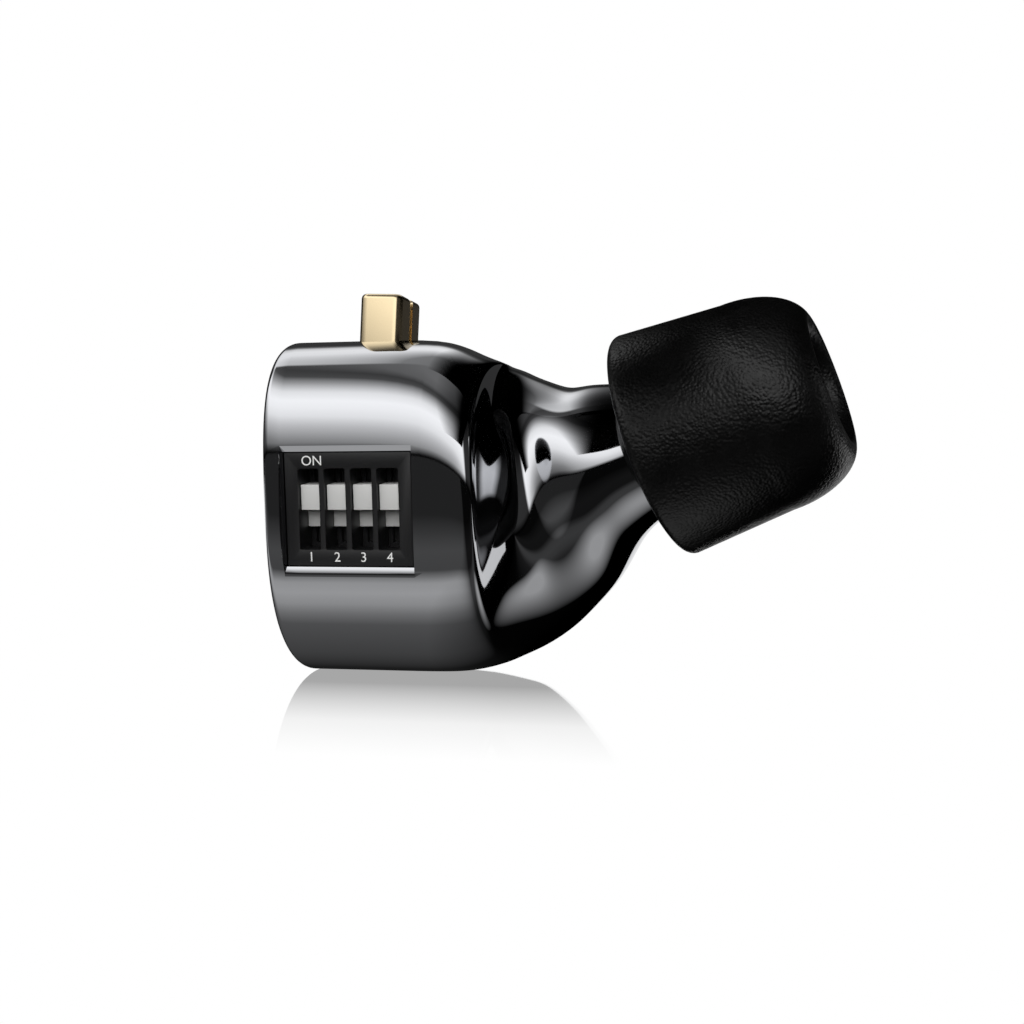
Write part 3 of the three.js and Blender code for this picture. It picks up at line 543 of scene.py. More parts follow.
@dataclass(frozen=True)
class Moulding:
    """Moulded or cast plastic, rubber or ceramic: an even colour with the fine texture of its tool."""

    name: str
    colour: str
    roughness: float = 0.45
    grain_mm: float = 0.08
    depth_mm: float = 0.002
    mottle: float = 0.12
    mottle_mm: float = 1.2

    def build(self) -> bpy.types.Material:
        """Makes the material."""
        material, tree = blank_material(self.name)
        where = add_node(tree, "ShaderNodeTexCoord").outputs["Object"]
        grain = add_node(
            tree,
            "ShaderNodeTexNoise",
            {"Scale": 1 / (self.grain_mm * MM), "Detail": 2.0},
            {"Vector": where},
        )
        patches = add_node(
            tree, "ShaderNodeTexNoise", {"Scale": 1 / (self.mottle_mm * MM), "Detail": 3.0}, {"Vector": where}
        )
        base = linear(self.colour)
        darker = tuple(c * (1 - self.mottle) for c in base[:3]) + (1.0,)
        colour = add_node(
            tree,
            "ShaderNodeMix",
            {"A": darker, "B": base},
            {"Factor": patches.outputs["Fac"]},
            data_type="RGBA",
        )
        bump = add_node(
            tree,
            "ShaderNodeBump",
            {"Strength": 0.5, "Distance": self.depth_mm * MM},
            {"Height": grain.outputs["Fac"]},
        )
        shader = add_node(
            tree,
            "ShaderNodeBsdfPrincipled",
            {"Roughness": self.roughness},
            {"Base Color": colour.outputs["Result"], "Normal": bump.outputs["Normal"]},
        )
        add_node(tree, "ShaderNodeOutputMaterial", links={"Surface": shader.outputs["BSDF"]})
        return material


class Finish(Enum):
    """Every finish on the earpiece, by what it really is."""

    BLACK_CHROME = PlatedMetal("mirror_black_chrome_plating", "b9babd")
    GOLD_PLATE = PlatedMetal("polished_gold_plating", "dcc9a4", roughness=0.15, haze=0.06)
    CONTACT_BRASS = PlatedMetal("stamped_brass", "c9a262", roughness=0.22, haze=0.1)
    SATIN_STEEL = PlatedMetal("satin_stainless_steel", "b4b6ba", roughness=0.28, haze=0.1, ripple=0.02)
    MAGNET_NICKEL = PlatedMetal("nickel_plated_magnet", "c8c4bb", roughness=0.16, haze=0.08)
    COPPER_WINDING = PlatedMetal("enamelled_copper_winding", "b06a35", roughness=0.3, haze=0.1, ripple=0.05)
    FOAM_SKIN = Foam("moulded_foam_skin", "060606")
    ELASTOMER = Moulding("satin_black_elastomer", "1b1b1c", roughness=0.5)
    SWITCH_BODY = Moulding("matt_black_switch_moulding", "19191a", roughness=0.42)
    SWITCH_KNOB = Moulding("pale_grey_switch_moulding", "d6d6d4", roughness=0.4, mottle=0.04)
    PRINT = Moulding("white_pad_print", "f2f2f0", roughness=0.5, mottle=0.03)
    SOLDER_MASK = Moulding("green_solder_mask", "1a5a3c", roughness=0.3, grain_mm=0.4)
    CERAMIC = Moulding("fired_ceramic_chip", "463a30", roughness=0.55, mottle=0.25)
    FILM = Moulding("coated_polymer_film", "cfc6a4", roughness=0.25, grain_mm=0.3)
    RED_ENAMEL = Moulding("red_wire_enamel", "8c1e18", roughness=0.3)
    BLUE_ENAMEL = Moulding("blue_wire_enamel", "1e3f8c", roughness=0.3)


class Wardrobe:
    """Makes each finish's material once and hands it out."""

    def __init__(self) -> None:
        """Starts with no material made."""
        self.made: dict[Finish, bpy.types.Material] = {}

    def get(self, finish: Finish) -> bpy.types.Material:
        """The material of a finish, made the first time it is asked for."""
        if finish not in self.made:
            self.made[finish] = finish.value.build()
        return self.made[finish]

    def dress_nodes(self, finish: Finish, nodes: Iterable[str]) -> None:
        """Puts a finish on CAD nodes that are kept as they are.

        Args:
            finish: The finish.
            nodes: The nodes' names.
        """
        for name in nodes:
            piece = frame["nodes"][name]
            for holder in piece.material_slots:
                holder.material = self.get(finish)
            LOG.info("node %s: %s", name, finish.value.name)


# ---- The housing --------------------------------------------------------------------------------------


@dataclass(frozen=True)
class Section:
    """A rounded outline in a plane square to the form there, all in millimetres and degrees."""

    x: float
    y: float = 0.0
    z: float = 0.0
    rise: float = 0.0
    yaw: float = 0.0
    near: float = 9.7
    far: float = 9.7
    up: float = 8.0
    down: float = 8.15
    top_exponent: float = 3.3
    bottom_exponent: float = 2.6
    taper: float = 0.08
    slope: float = 0.1

    def values(self) -> list[float]:
        """The section as a row of numbers, in the order of its fields."""
        return [getattr(self, name) for name in self.__dataclass_fields__]


@dataclass
class Form:
    """The shell's outer form: a cubic B-spline through sections, from the faceplate's rim to the nozzle."""

    band_length: float = 9.3
    rim_set_back: float = 0.2
    band_steps: float = 3.5  # steps between sections from the rim to the band's end
    neck_stop: float = 0.28  # how many spans before the spline's end the wall stops
    seat: tuple[float, float, float] = (17.59, -2.5, 2.98)
    neck_end: float = 1.3
    neck_end_radius: float = 2.95
    sections: np.ndarray = field(init=False)

    def __post_init__(self) -> None:
        """Lists the sections in order."""
        end = self.band_length
        step = (end - self.rim_set_back) / self.band_steps
        rows = [Section(self.rim_set_back + k * step) for k in (-1, 0, 1, 2)]
        rows += [
            Section(self.rim_set_back + 3 * step, top_exponent=3.2),
            Section(end, far=9.5, up=7.35, down=7.95, top_exponent=2.9),
            Section(
                end + 0.9, rise=1, near=9.75, far=9.12, up=7.2, down=7.7, top_exponent=2.5,
                bottom_exponent=2.5, taper=0.05, slope=0.08,
            ),
            Section(
                end + 1.15, rise=2, yaw=1, near=8.92, far=8.73, up=7.16, down=7.58, top_exponent=2.4,
                bottom_exponent=2.45, taper=0.04, slope=0.06,
            ),
            self.neck(end + 1.55, -0.05, 0.05, 4, 2, (7.6, 8.2, 7.1, 7.4), (2.35, 2.35)),
            self.neck(end + 2.3, -0.2, 0.2, 7, 3.5, (6.3, 7.2, 6.85, 6.95), (2.3, 2.2)),
            self.neck(end + 3.1, -0.55, 0.5, 10, 5, (5.15, 6.4, 6.3, 6.5), (2.3, 2.1)),
            self.neck(end + 4.1, -1.05, 0.95, 12, 6.5, (4.8, 5.45, 5.5, 5.9), (2.2, 2.05)),
            self.neck(end + 5.3, -1.6, 1.6, 14, 8, (4.6, 4.7, 4.4, 5.3), (2.2, 2.05)),
            self.ring(-2.0, 3.95, 17.5),
            self.ring(-0.5, 3.4),
            self.ring(self.neck_end, self.neck_end_radius),
            self.ring(self.neck_end + 1.9, self.neck_end_radius),
        ]
        self.sections = np.array([row.values() for row in rows])

    def neck(
        self,
        x: float,
        y: float,
        z: float,
        rise: float,
        yaw: float,
        sizes: Sequence[float],
        powers: Sequence[float],
    ) -> Section:
        """A section of the neck, with no taper.

        Args:
            x: Its centre.
            y: Its centre.
            z: Its centre.
            rise: How far its plane's normal points up, in degrees.
            yaw: How far the normal turns to the near side.
            sizes: Near, far, up and down.
            powers: The exponents of its upper and lower half.

        Returns:
            The section.
        """
        near, far, up, down = sizes
        return Section(x, y, z, rise, yaw, near, far, up, down, powers[0], powers[1], 0.0, 0.0)

    def ring(self, distance: float, radius: float, rise: float | None = None) -> Section:
        """A round section on the nozzle's axis.

        Args:
            distance: How far it is beyond the seat.
            radius: Its radius.
            rise: The rise of its normal, if not the nozzle's.

        Returns:
            The section.
        """
        own_rise = math.degrees(math.asin(NOZZLE_AXIS.z))
        yaw = math.degrees(math.atan2(-NOZZLE_AXIS.y, NOZZLE_AXIS.x))
        centre = Vector(self.seat) + distance * NOZZLE_AXIS
        sizes = (radius,) * 4
        return Section(*centre, own_rise if rise is None else rise, yaw, *sizes, 2.0, 2.0, 0.0, 0.0)

    def spans(self) -> int:
        """The number of spans of the spline."""
        return len(self.sections) - 3

    def blend(self, span: float) -> np.ndarray:
        """The section at a place along the form.

        Args:
            span: The place, counted in spans.

        Returns:
            Its values, in the order of Section's fields.
        """
        first = min(int(span), self.spans() - 1)
        u = span - first
        weights = np.array(
            [(1 - u) ** 3, 3 * u**3 - 6 * u * u + 4, -3 * u**3 + 3 * u * u + 3 * u + 1, u**3]
        )
        return weights @ self.sections[first : first + 4] / 6

    def outline(self, values: np.ndarray, angles: np.ndarray, inset: float = 0.0) -> np.ndarray:
        """Points on a section's outline.

        Args:
            values: The section's values.
            angles: Their angles, from the far side over the top.
            inset: How far they are drawn in towards the centre.

        Returns:
            Points in millimetres, one row each.
        """
        x, y, z, rise, yaw, near, far, up, down, top, bottom, taper, slope = values
        across, along = np.cos(angles), np.sin(angles)
        width = np.where(across < 0, near, far)
        height = np.where(along > 0, up, down)
        power = np.where(along > 0, top, bottom)
        radius = (np.abs(across / width) ** power + np.abs(along / height) ** power) ** (-1 / power) - inset
        depth = radius * across * (1 + taper * radius * along / Section.up)
        lift = radius * along * (1 - slope * radius * across / Section.far)
        e, q = math.radians(rise), math.radians(yaw)
        normal = np.array([math.cos(e) * math.cos(q), -math.cos(e) * math.sin(q), math.sin(e)])
        side = np.array([math.sin(q), math.cos(q), 0.0])
        upward = np.cross(normal, side)
        return np.array([x, y, z]) + np.outer(depth, side) + np.outer(lift, upward)

    def surface(self, span: float, angles: np.ndarray, inwards: float = 0.0) -> np.ndarray:
        """Points on the form, or on the wall's inside.

        Args:
            span: The place along the form.
            angles: The points' angles.
            inwards: How far they lie inside the form, along its normal.

        Returns:
            Points in millimetres.
        """
        points = self.outline(self.blend(span), angles)
        if inwards == 0:
            return points
        step = 0.01
        ahead = self.outline(self.blend(span + step), angles) - self.outline(self.blend(span - step), angles)
        around = self.outline(self.blend(span), angles + step) - self.outline(self.blend(span), angles - step)
        outwards = np.cross(around, ahead)
        outwards /= np.linalg.norm(outwards, axis=1)[:, None]
        return points - inwards * outwards

    def band(self, x: float, angles: np.ndarray, inset: float) -> np.ndarray:
        """The band's outline at a distance from the faceplate, drawn in by an inset."""
        return self.outline(np.array(Section(x).values()), angles, inset)

    def round(self, distance: float, angles: np.ndarray, radius: float) -> np.ndarray:
        """A circle round the nozzle's axis, at a distance beyond the seat."""
        return self.outline(np.array(self.ring(distance, radius).values()), angles)


def rolled_piece(name: str, rings: Sequence[np.ndarray]) -> bpy.types.Object:
    """A grid primitive rolled up through rings of points, with the last ring joined to the first.

    Args:
        name: The piece's name.
        rings: The rings in order, each with as many points.

    Returns:
        The new closed object.
    """
    deselect()
    count = len(rings[0])
    bpy.ops.mesh.primitive_grid_add(x_subdivisions=count, y_subdivisions=len(rings), size=1)
    piece = added(name)
    closed = [np.vstack([ring, ring[:1]]) for ring in [*rings, rings[0]]]
    piece.data.vertices.foreach_set("co", np.concatenate(closed).ravel())
    bpy.ops.object.mode_set(mode="EDIT")
    bpy.ops.mesh.select_all(action="SELECT")
    bpy.ops.mesh.remove_doubles(threshold=1e-5)
    bpy.ops.mesh.select_all(action="SELECT")
    bpy.ops.mesh.normals_make_consistent(inside=False)
    bpy.ops.object.mode_set(mode="OBJECT")
    return piece


@dataclass
class Housing:
    """The cast shell with its openings, and the faceplate that closes it."""

    form: Form
    switch_frame: Matrix
    socket_frame: Matrix
    socket_hole: tuple[float, float, float] = (2.2, 3.7, 0.47)  # width, depth and corner
    socket_reach: float = 5.0
    window: tuple[float, float] = (6.17, 5.37)  # width and height of the switch's window
    window_depth: float = 2.4  # from the switch's face inwards
    bevel_reach: float = 1.2  # the bevel cutter's outer face in front of the switch's face
    bevel_start: float = 0.03  # the bevel's inner edge in front of the switch's face
    # How fast the bevel widens at the left, right, bottom and top for its depth
    bevel_spread: tuple[float, float, float, float] = (0.55, 0.2, 2.4, 1.6)
    wall: float = 0.85
    rim_wall: float = 0.6
    rim_round: float = 0.35
    ledge: float = 1.05
    bore: float = 2.55
    spigot: float = 1.6
    vent: tuple[float, float, float] = (5.6, 0.6, 0.45)  # x, z and radius, in the far side
    vent_cut: tuple[float, float] = (8.0, 12.0)  # where its cutter starts and stops, along Y
    plate_thickness: float = 1.0
    plate_gap: float = 0.05
    plate_round: float = 0.3
    cutter_reach: float = 2.0  # how far the window's cutter stands in front of the switch's face
    sides: int = 288
    # First and last place along the form, in spans, and how many rings between them
    band_rings: tuple[float, float, int] = (0.35, 2.8, 9)
    inner_neck_rings: tuple[float, float, int] = (11.5, 6.7, 16)
    neck_rings: tuple[float, int] = (3.0, 190)  # to where the wall stops
    # None where the shoulder is rounder than the wall is thick
    inner_band_rings: tuple[float, ...] = (4.0, 3.4, 2.6)

    def angles(self) -> np.ndarray:
        """The angles of the points of one ring."""
        return np.linspace(0, 2 * math.pi, self.sides, endpoint=False)

    def shell(self) -> bpy.types.Object:
        """Builds the shell as one closed wall, then cuts its openings.

        Returns:
            The shell, in millimetres.
        """
        around = self.angles()
        form = self.form
        rim = []
        for turn in np.linspace(0, math.pi / 2, 8):
            x = form.rim_set_back + self.rim_round * (1 - math.cos(turn))
            rim.append(form.band(x, around, self.rim_round * (1 - math.sin(turn))))
        last = form.spans() - form.neck_stop
        first, count = self.neck_rings
        places = [*np.linspace(*self.band_rings), *np.linspace(first, last, count)]
        outer = [form.surface(s, around) for s in places]
        bore = [form.round(form.neck_end - d, around, self.bore) for d in (0.0, self.spigot)]
        places = [*np.linspace(*self.inner_neck_rings), *self.inner_band_rings]
        inner = [form.surface(s, around, self.wall) for s in places]
        seat = [
            form.band(self.ledge, around, self.wall),
            form.band(self.ledge, around, self.rim_wall),
            form.band(form.rim_set_back, around, self.rim_wall),
        ]
        piece = rolled_piece("shell_skin", [*rim, *outer, *bore, *inner, *seat])
        combine(piece, self.cutters())
        return piece

    def cutters(self) -> list[bpy.types.Object]:
        """The solids that open the switch's window, the socket's hole and the vent."""
        x, z = self.window[0] / 2, self.window[1] / 2
        through = box_piece("window_cutter", (-x, -self.cutter_reach, -z), (x, self.window_depth, z))
        flare = box_piece("flare_cutter", (-x, -self.bevel_reach, -z), (x, -self.bevel_start, z))
        grow = self.bevel_reach - self.bevel_start
        left, right, bottom, top = (grow * spread for spread in self.bevel_spread)
        for vertex in flare.data.vertices:
            if vertex.co.y < -self.bevel_reach / 2:
                vertex.co.x += -left if vertex.co.x < 0 else right
                vertex.co.z += -bottom if vertex.co.z < 0 else top
        back = Matrix.Scale(1 / MM, 4) @ self.switch_frame
        for cutter in (through, flare):
            cutter.data.transform(back)
        vent_x, vent_z, vent_radius = self.vent
        start, stop = self.vent_cut
        vent = disc_piece("vent_cutter", vent_radius, -stop, -start, 48)
        turn = Matrix.Rotation(math.pi / 2, 4, "X")
        vent.data.transform(Matrix.Translation((vent_x, 0, vent_z)) @ turn)
        width, depth, corner = self.socket_hole
        hole = box_piece(
            "socket_cutter", (-width / 2, -depth / 2, -self.socket_reach), (width / 2, depth / 2, 1)
        )
        round_edges(hole, corner, 6, lambda a, b: abs(a.z - b.z) > 1)
        hole.data.transform(Matrix.Scale(1 / MM, 4) @ self.socket_frame)
        return [through, flare, vent, hole]

    def faceplate(self) -> bpy.types.Object:
        """Builds the faceplate with a rounded front edge.

        Returns:
            The faceplate, in millimetres.
        """
        around = self.angles()
        edge = self.rim_wall + self.plate_gap
        deselect()
        bpy.ops.mesh.primitive_circle_add(vertices=self.sides, radius=1, fill_type="NGON")
        piece = added("faceplate_cap")
        front = self.form.band(0.0, around, edge)
        piece.data.vertices.foreach_set("co", front.ravel())
        bpy.ops.object.mode_set(mode="EDIT")
        bpy.ops.mesh.select_all(action="SELECT")
        bpy.ops.mesh.extrude_region_move(TRANSFORM_OT_translate={"value": (self.plate_thickness, 0, 0)})
        bpy.ops.mesh.select_all(action="SELECT")
        bpy.ops.mesh.normals_make_consistent(inside=False)
        bpy.ops.object.mode_set(mode="OBJECT")
        round_edges(piece, self.plate_round, 6, lambda a, b: max(a.x, b.x) < 0.01)
        return piece

    def build(self, wardrobe: Wardrobe) -> None:
        """Builds both pieces, dresses them and puts them in place."""
        scale = Matrix.Scale(MM, 4)
        shell = settle(self.shell(), scale, EARPIECE, ["shell"])
        dress(shell, wardrobe.get(Finish.BLACK_CHROME))
        plate = settle(self.faceplate(), scale, EARPIECE, ["faceplate"])
        dress(plate, wardrobe.get(Finish.BLACK_CHROME))
        wardrobe.dress_nodes(Finish.SATIN_STEEL, ["vent_mesh"])
        wardrobe.dress_nodes(Finish.ELASTOMER, ["driver_bracket"])


# ---- The nozzle and the ear tip --------------------------------------------------------------------------


@dataclass
class Nozzle:
    """The metal tube that carries the ear tip, on an axis from the seat."""

    frame: Matrix
    bore: float = 2.0
    radius: float = 2.5
    rear: float = -0.3
    flange: tuple[float, float] = (1.35, 1.75)
    front: float = 4.9
    lip_radius: float = 2.75
    lip_length: float = 0.8
    lip_neck: float = 0.25  # from the last ring of the plain tube to the lip
    mouth: tuple[float, float] = (2.25, 0.25)  # radius and depth of the counterbore at the front

    def build(self, wardrobe: Wardrobe) -> None:
        """Builds the tube with its rounded lip, and dresses what it holds."""
        low, high = self.flange
        lip = self.front - self.lip_length
        profile = [(self.bore, self.rear), (self.radius, self.rear), (self.radius, low)]
        profile += [(self.lip_radius, low), (self.lip_radius, high), (self.radius, high)]
        profile.append((self.radius, lip - self.lip_neck))
        for turn in np.linspace(0, math.pi, 9):
            height = lip + (self.lip_length / 2) * (1 - math.cos(turn))
            radius = self.radius + (self.lip_radius - self.radius) * math.sin(turn) ** 0.5
            profile.append((radius, height))
        mouth, sunk = self.mouth
        profile += [(mouth, self.front), (mouth, self.front - sunk), (self.bore, self.front - sunk)]
        tube = settle(turned_piece("nozzle_tube", profile), self.frame, EARPIECE, ["nozzle"])
        dress(tube, wardrobe.get(Finish.BLACK_CHROME))
        wardrobe.dress_nodes(Finish.SATIN_STEEL, ["nozzle_mesh"])
        wardrobe.dress_nodes(Finish.FOAM_SKIN, ["acoustic_damper"])


@dataclass
class EarTip:
    """The foam sleeve and the elastomer tube that it is bonded to."""

    frame: Matrix
    length: float = 9.1
    rear_radius: float = 5.62
    front_radius: float = 5.15
    rear_round: float = 0.4
    shoulder_length: float = 3.65
    shoulder_depth: float = 2.1
    shoulder_turn: float = math.radians(84)  # how far the shoulder turns in before the mouth begins
    mouth: float = 2.7
    dish: float = 1.05  # depth of the dished mouth
    rear_hollow: float = 3.75
    rear_hollow_flare: float = 0.2
    core_rear: float = 1.55
    core_front: float = 7.3
    core_bore: float = 2.79
    core_outer: float = 3.24
    core_mouth: float = 1.75
    core_shoulder: float = 5.3
    core_chamfer: float = 0.15
    glue: float = 0.04  # gap between the foam and the core tube

    def outside(self) -> list[tuple[float, float]]:
        """The foam's outside from the rear rim, over the shoulder, to the mouth's edge."""
        points = []
        for turn in np.linspace(0, math.pi / 2, 7):
            radius = self.rear_radius - self.rear_round * (1 - math.sin(turn))
            points.append((radius, self.rear_round * (1 - math.cos(turn))))
        start = self.length - self.shoulder_length
        for share in np.linspace(0, 1, 16)[1:-1]:
            radius = self.rear_radius + (self.front_radius - self.rear_radius) * share
            points.append((radius, self.rear_round + (start - self.rear_round) * share))
        for turn in np.linspace(0, self.shoulder_turn, 24):
            radius = self.front_radius - self.shoulder_depth * (1 - math.cos(turn))
            points.append((radius, start + self.shoulder_length * math.sin(turn)))
        return points

    def foam(self) -> bpy.types.Object:
        """Builds the foam sleeve with a soft dished mouth.

        Returns:
            The sleeve, in millimetres on its own axis.
        """
        outside = self.outside()
        lip_radius, lip_height = outside[-1]
        dish = []
        for share in np.linspace(0, 1, 12)[1:]:
            swing = share * math.pi / 2
            radius = lip_radius - (lip_radius - self.mouth) * math.sin(swing)
            dish.append((radius, lip_height + 0.02 - self.dish * (1 - math.cos(swing))))
        bore = self.core_outer + self.glue
        ledge = self.core_front + 0.05
        inside = [(self.mouth, ledge), (bore, ledge), (bore, self.core_rear)]
        inside += [(self.rear_hollow, self.core_rear - 0.5), (self.rear_hollow, 0.25)]
        inside.append((self.rear_hollow + self.rear_hollow_flare, 0.0))
        return turned_piece("foam_sleeve", [*outside, *dish, *inside], 128)

    def core(self) -> bpy.types.Object:
        """Builds the elastomer tube.

        Returns:
            The tube, in millimetres on its own axis.
        """
        profile = [(self.core_bore, self.core_rear), (self.core_outer, self.core_rear)]
        edge = self.core_mouth + self.core_chamfer
        profile += [(self.core_outer, self.core_front), (edge, self.core_front)]
        profile += [(self.core_mouth, self.core_front - self.core_chamfer)]
        profile += [(self.core_mouth, self.core_shoulder), (self.core_bore, self.core_shoulder)]
        return turned_piece("tip_core", profile)

    def build(self, wardrobe: Wardrobe) -> None:
        """Builds both pieces and dresses them."""
        foam = settle(self.foam(), self.frame, "ear_tip", ["ear_tip_foam"], angle=60)
        dress(foam, wardrobe.get(Finish.FOAM_SKIN))
        core = settle(self.core(), self.frame, "ear_tip", ["ear_tip_core"])
        dress(core, wardrobe.get(Finish.ELASTOMER))


# ---- The tuning switch -----------------------------------------------------------------------------------


@dataclass
class TuningSwitch:
    """A four-way slide switch with its front face at y = 0, depth along +Y and up along +Z."""

    frame: Matrix
    pitch: float = 1.27
    ways: int = 4
    width: float = 6.05
    height: float = 5.25
    cover_depth: float = 1.78
    slot: tuple[float, float] = (1.03, 3.8)
    chamber: tuple[float, float] = (1.13, 0.55)
    knob: tuple[float, float, float] = (1.12, 1.18, 0.28)  # top, height and recess
    foot_drop: float = 0.88
    run: float = 0.04
    letter_height: float = 0.46
    letter_scale: float = 1.4  # the font size that gives a letter its height, as a share of it
    letter_row: float = 2.24  # numbers below the middle, and the word ON as far above it
    print_thickness: float = 0.006

    def slot_x(self, way: int) -> float:
        """The middle of a slot, counted from 0."""
        return (way - (self.ways - 1) / 2) * self.pitch

    def cover(self) -> bpy.types.Object:
        """Builds the cover: a block with a slot for each slider and a wider chamber behind each."""
        x, z = self.width / 2, self.height / 2
        piece = box_piece("switch_face", (-x, 0, -z), (x, self.cover_depth, z))
        half, tall = self.slot[0] / 2, self.slot[1] / 2
        wide, deep = self.chamber[0] / 2, self.chamber[1]
        cutters = []
        for way in range(self.ways):
            middle_x = self.slot_x(way)
            through = box_piece("slot_cutter", (middle_x - half, -1, -tall), (middle_x + half, 3, tall))
            round_edges(through, 0.09, 3, lambda a, b: abs(a.y - b.y) > 1)
            rear = box_piece(
                "chamber_cutter",
                (middle_x - wide, self.cover_depth - deep, -tall - 0.1),
                (middle_x + wide, 3, tall + 0.1),
            )
            cutters += [through, rear]
        combine(piece, cutters)
        soften(piece, 0.035, 2)
        return piece

    def slider(self) -> bpy.types.Object:
        """Builds one slider at the middle of the switch: a knob on a wider foot."""
        top, tall, recess = self.knob
        half = self.slot[0] / 2 - self.run
        foot_half = self.chamber[0] / 2 - self.run
        foot_y = self.cover_depth - self.chamber[1] + self.run
        low = (-foot_half, foot_y, top - tall - self.foot_drop)
        foot = box_piece("slider", low, (foot_half, self.cover_depth - self.run, top))
        knob = box_piece("knob", (-half, recess, top - tall), (half, foot_y + 0.1, top))
        combine(foot, [knob], Joining.WELD)
        soften(foot, 0.04, 3)
        return foot

    def letter(self, name: str, text: str, x: float, z: float) -> bpy.types.Object:
        """Builds one printed mark on the switch's face.

        Args:
            name: The piece's name.
            text: What it says.
            x: Its middle along the switch.
            z: Its middle up the switch.

        Returns:
            The mark as a thin solid, in millimetres.
        """
        deselect()
        bpy.ops.object.text_add(location=(0, 0, 0))
        mark = bpy.context.object
        mark.data.body = text
        mark.data.align_x = "CENTER"
        mark.data.align_y = "CENTER"
        mark.data.size = self.letter_height * self.letter_scale
        mark.data.extrude = self.print_thickness / 2
        mark.data.resolution_u = 6
        bpy.ops.object.convert(target="MESH")
        mark = added(name)
        stand = Matrix.Translation((x, -self.print_thickness / 2 - 0.001, z))
        mark.data.transform(stand @ Matrix.Rotation(math.pi / 2, 4, "X"))
        return mark

    def build(self, wardrobe: Wardrobe) -> None:
        """Builds the cover, sliders and marks, and dresses the pieces behind them."""
        cover = settle(self.cover(), self.frame, EARPIECE, ["switch_cover"])
        dress(cover, wardrobe.get(Finish.SWITCH_BODY))
        pattern = self.slider()
        for way in range(self.ways):
            number = way + 1
            slider = duplicate(pattern, f"slider_knob_{number}", Vector((self.slot_x(way), 0, 0)))
            settle(slider, self.frame, f"slider_{number}", [f"switch_slider_{number}"])
            dress(slider, wardrobe.get(Finish.SWITCH_KNOB))
            mark = self.letter(f"mark_{number}", str(number), self.slot_x(way) + 0.03, -self.letter_row)
            settle(mark, self.frame, EARPIECE)
            dress(mark, wardrobe.get(Finish.PRINT))
        bpy.data.objects.remove(pattern, do_unlink=True)
        word = self.letter("mark_on", "ON", self.slot_x(0) + 0.2, self.letter_row)
        settle(word, self.frame, EARPIECE)
        dress(word, wardrobe.get(Finish.PRINT))
        wardrobe.dress_nodes(Finish.SWITCH_BODY, ["switch_base"])
        wardrobe.dress_nodes(Finish.CONTACT_BRASS, [f"switch_wiper_{k + 1}" for k in range(self.ways)])
        wardrobe.dress_nodes(Finish.CONTACT_BRASS, [f"switch_lead_{k + 1}" for k in range(2 * self.ways)])


# ---- The cable socket --------------------------------------------------------------------------------------


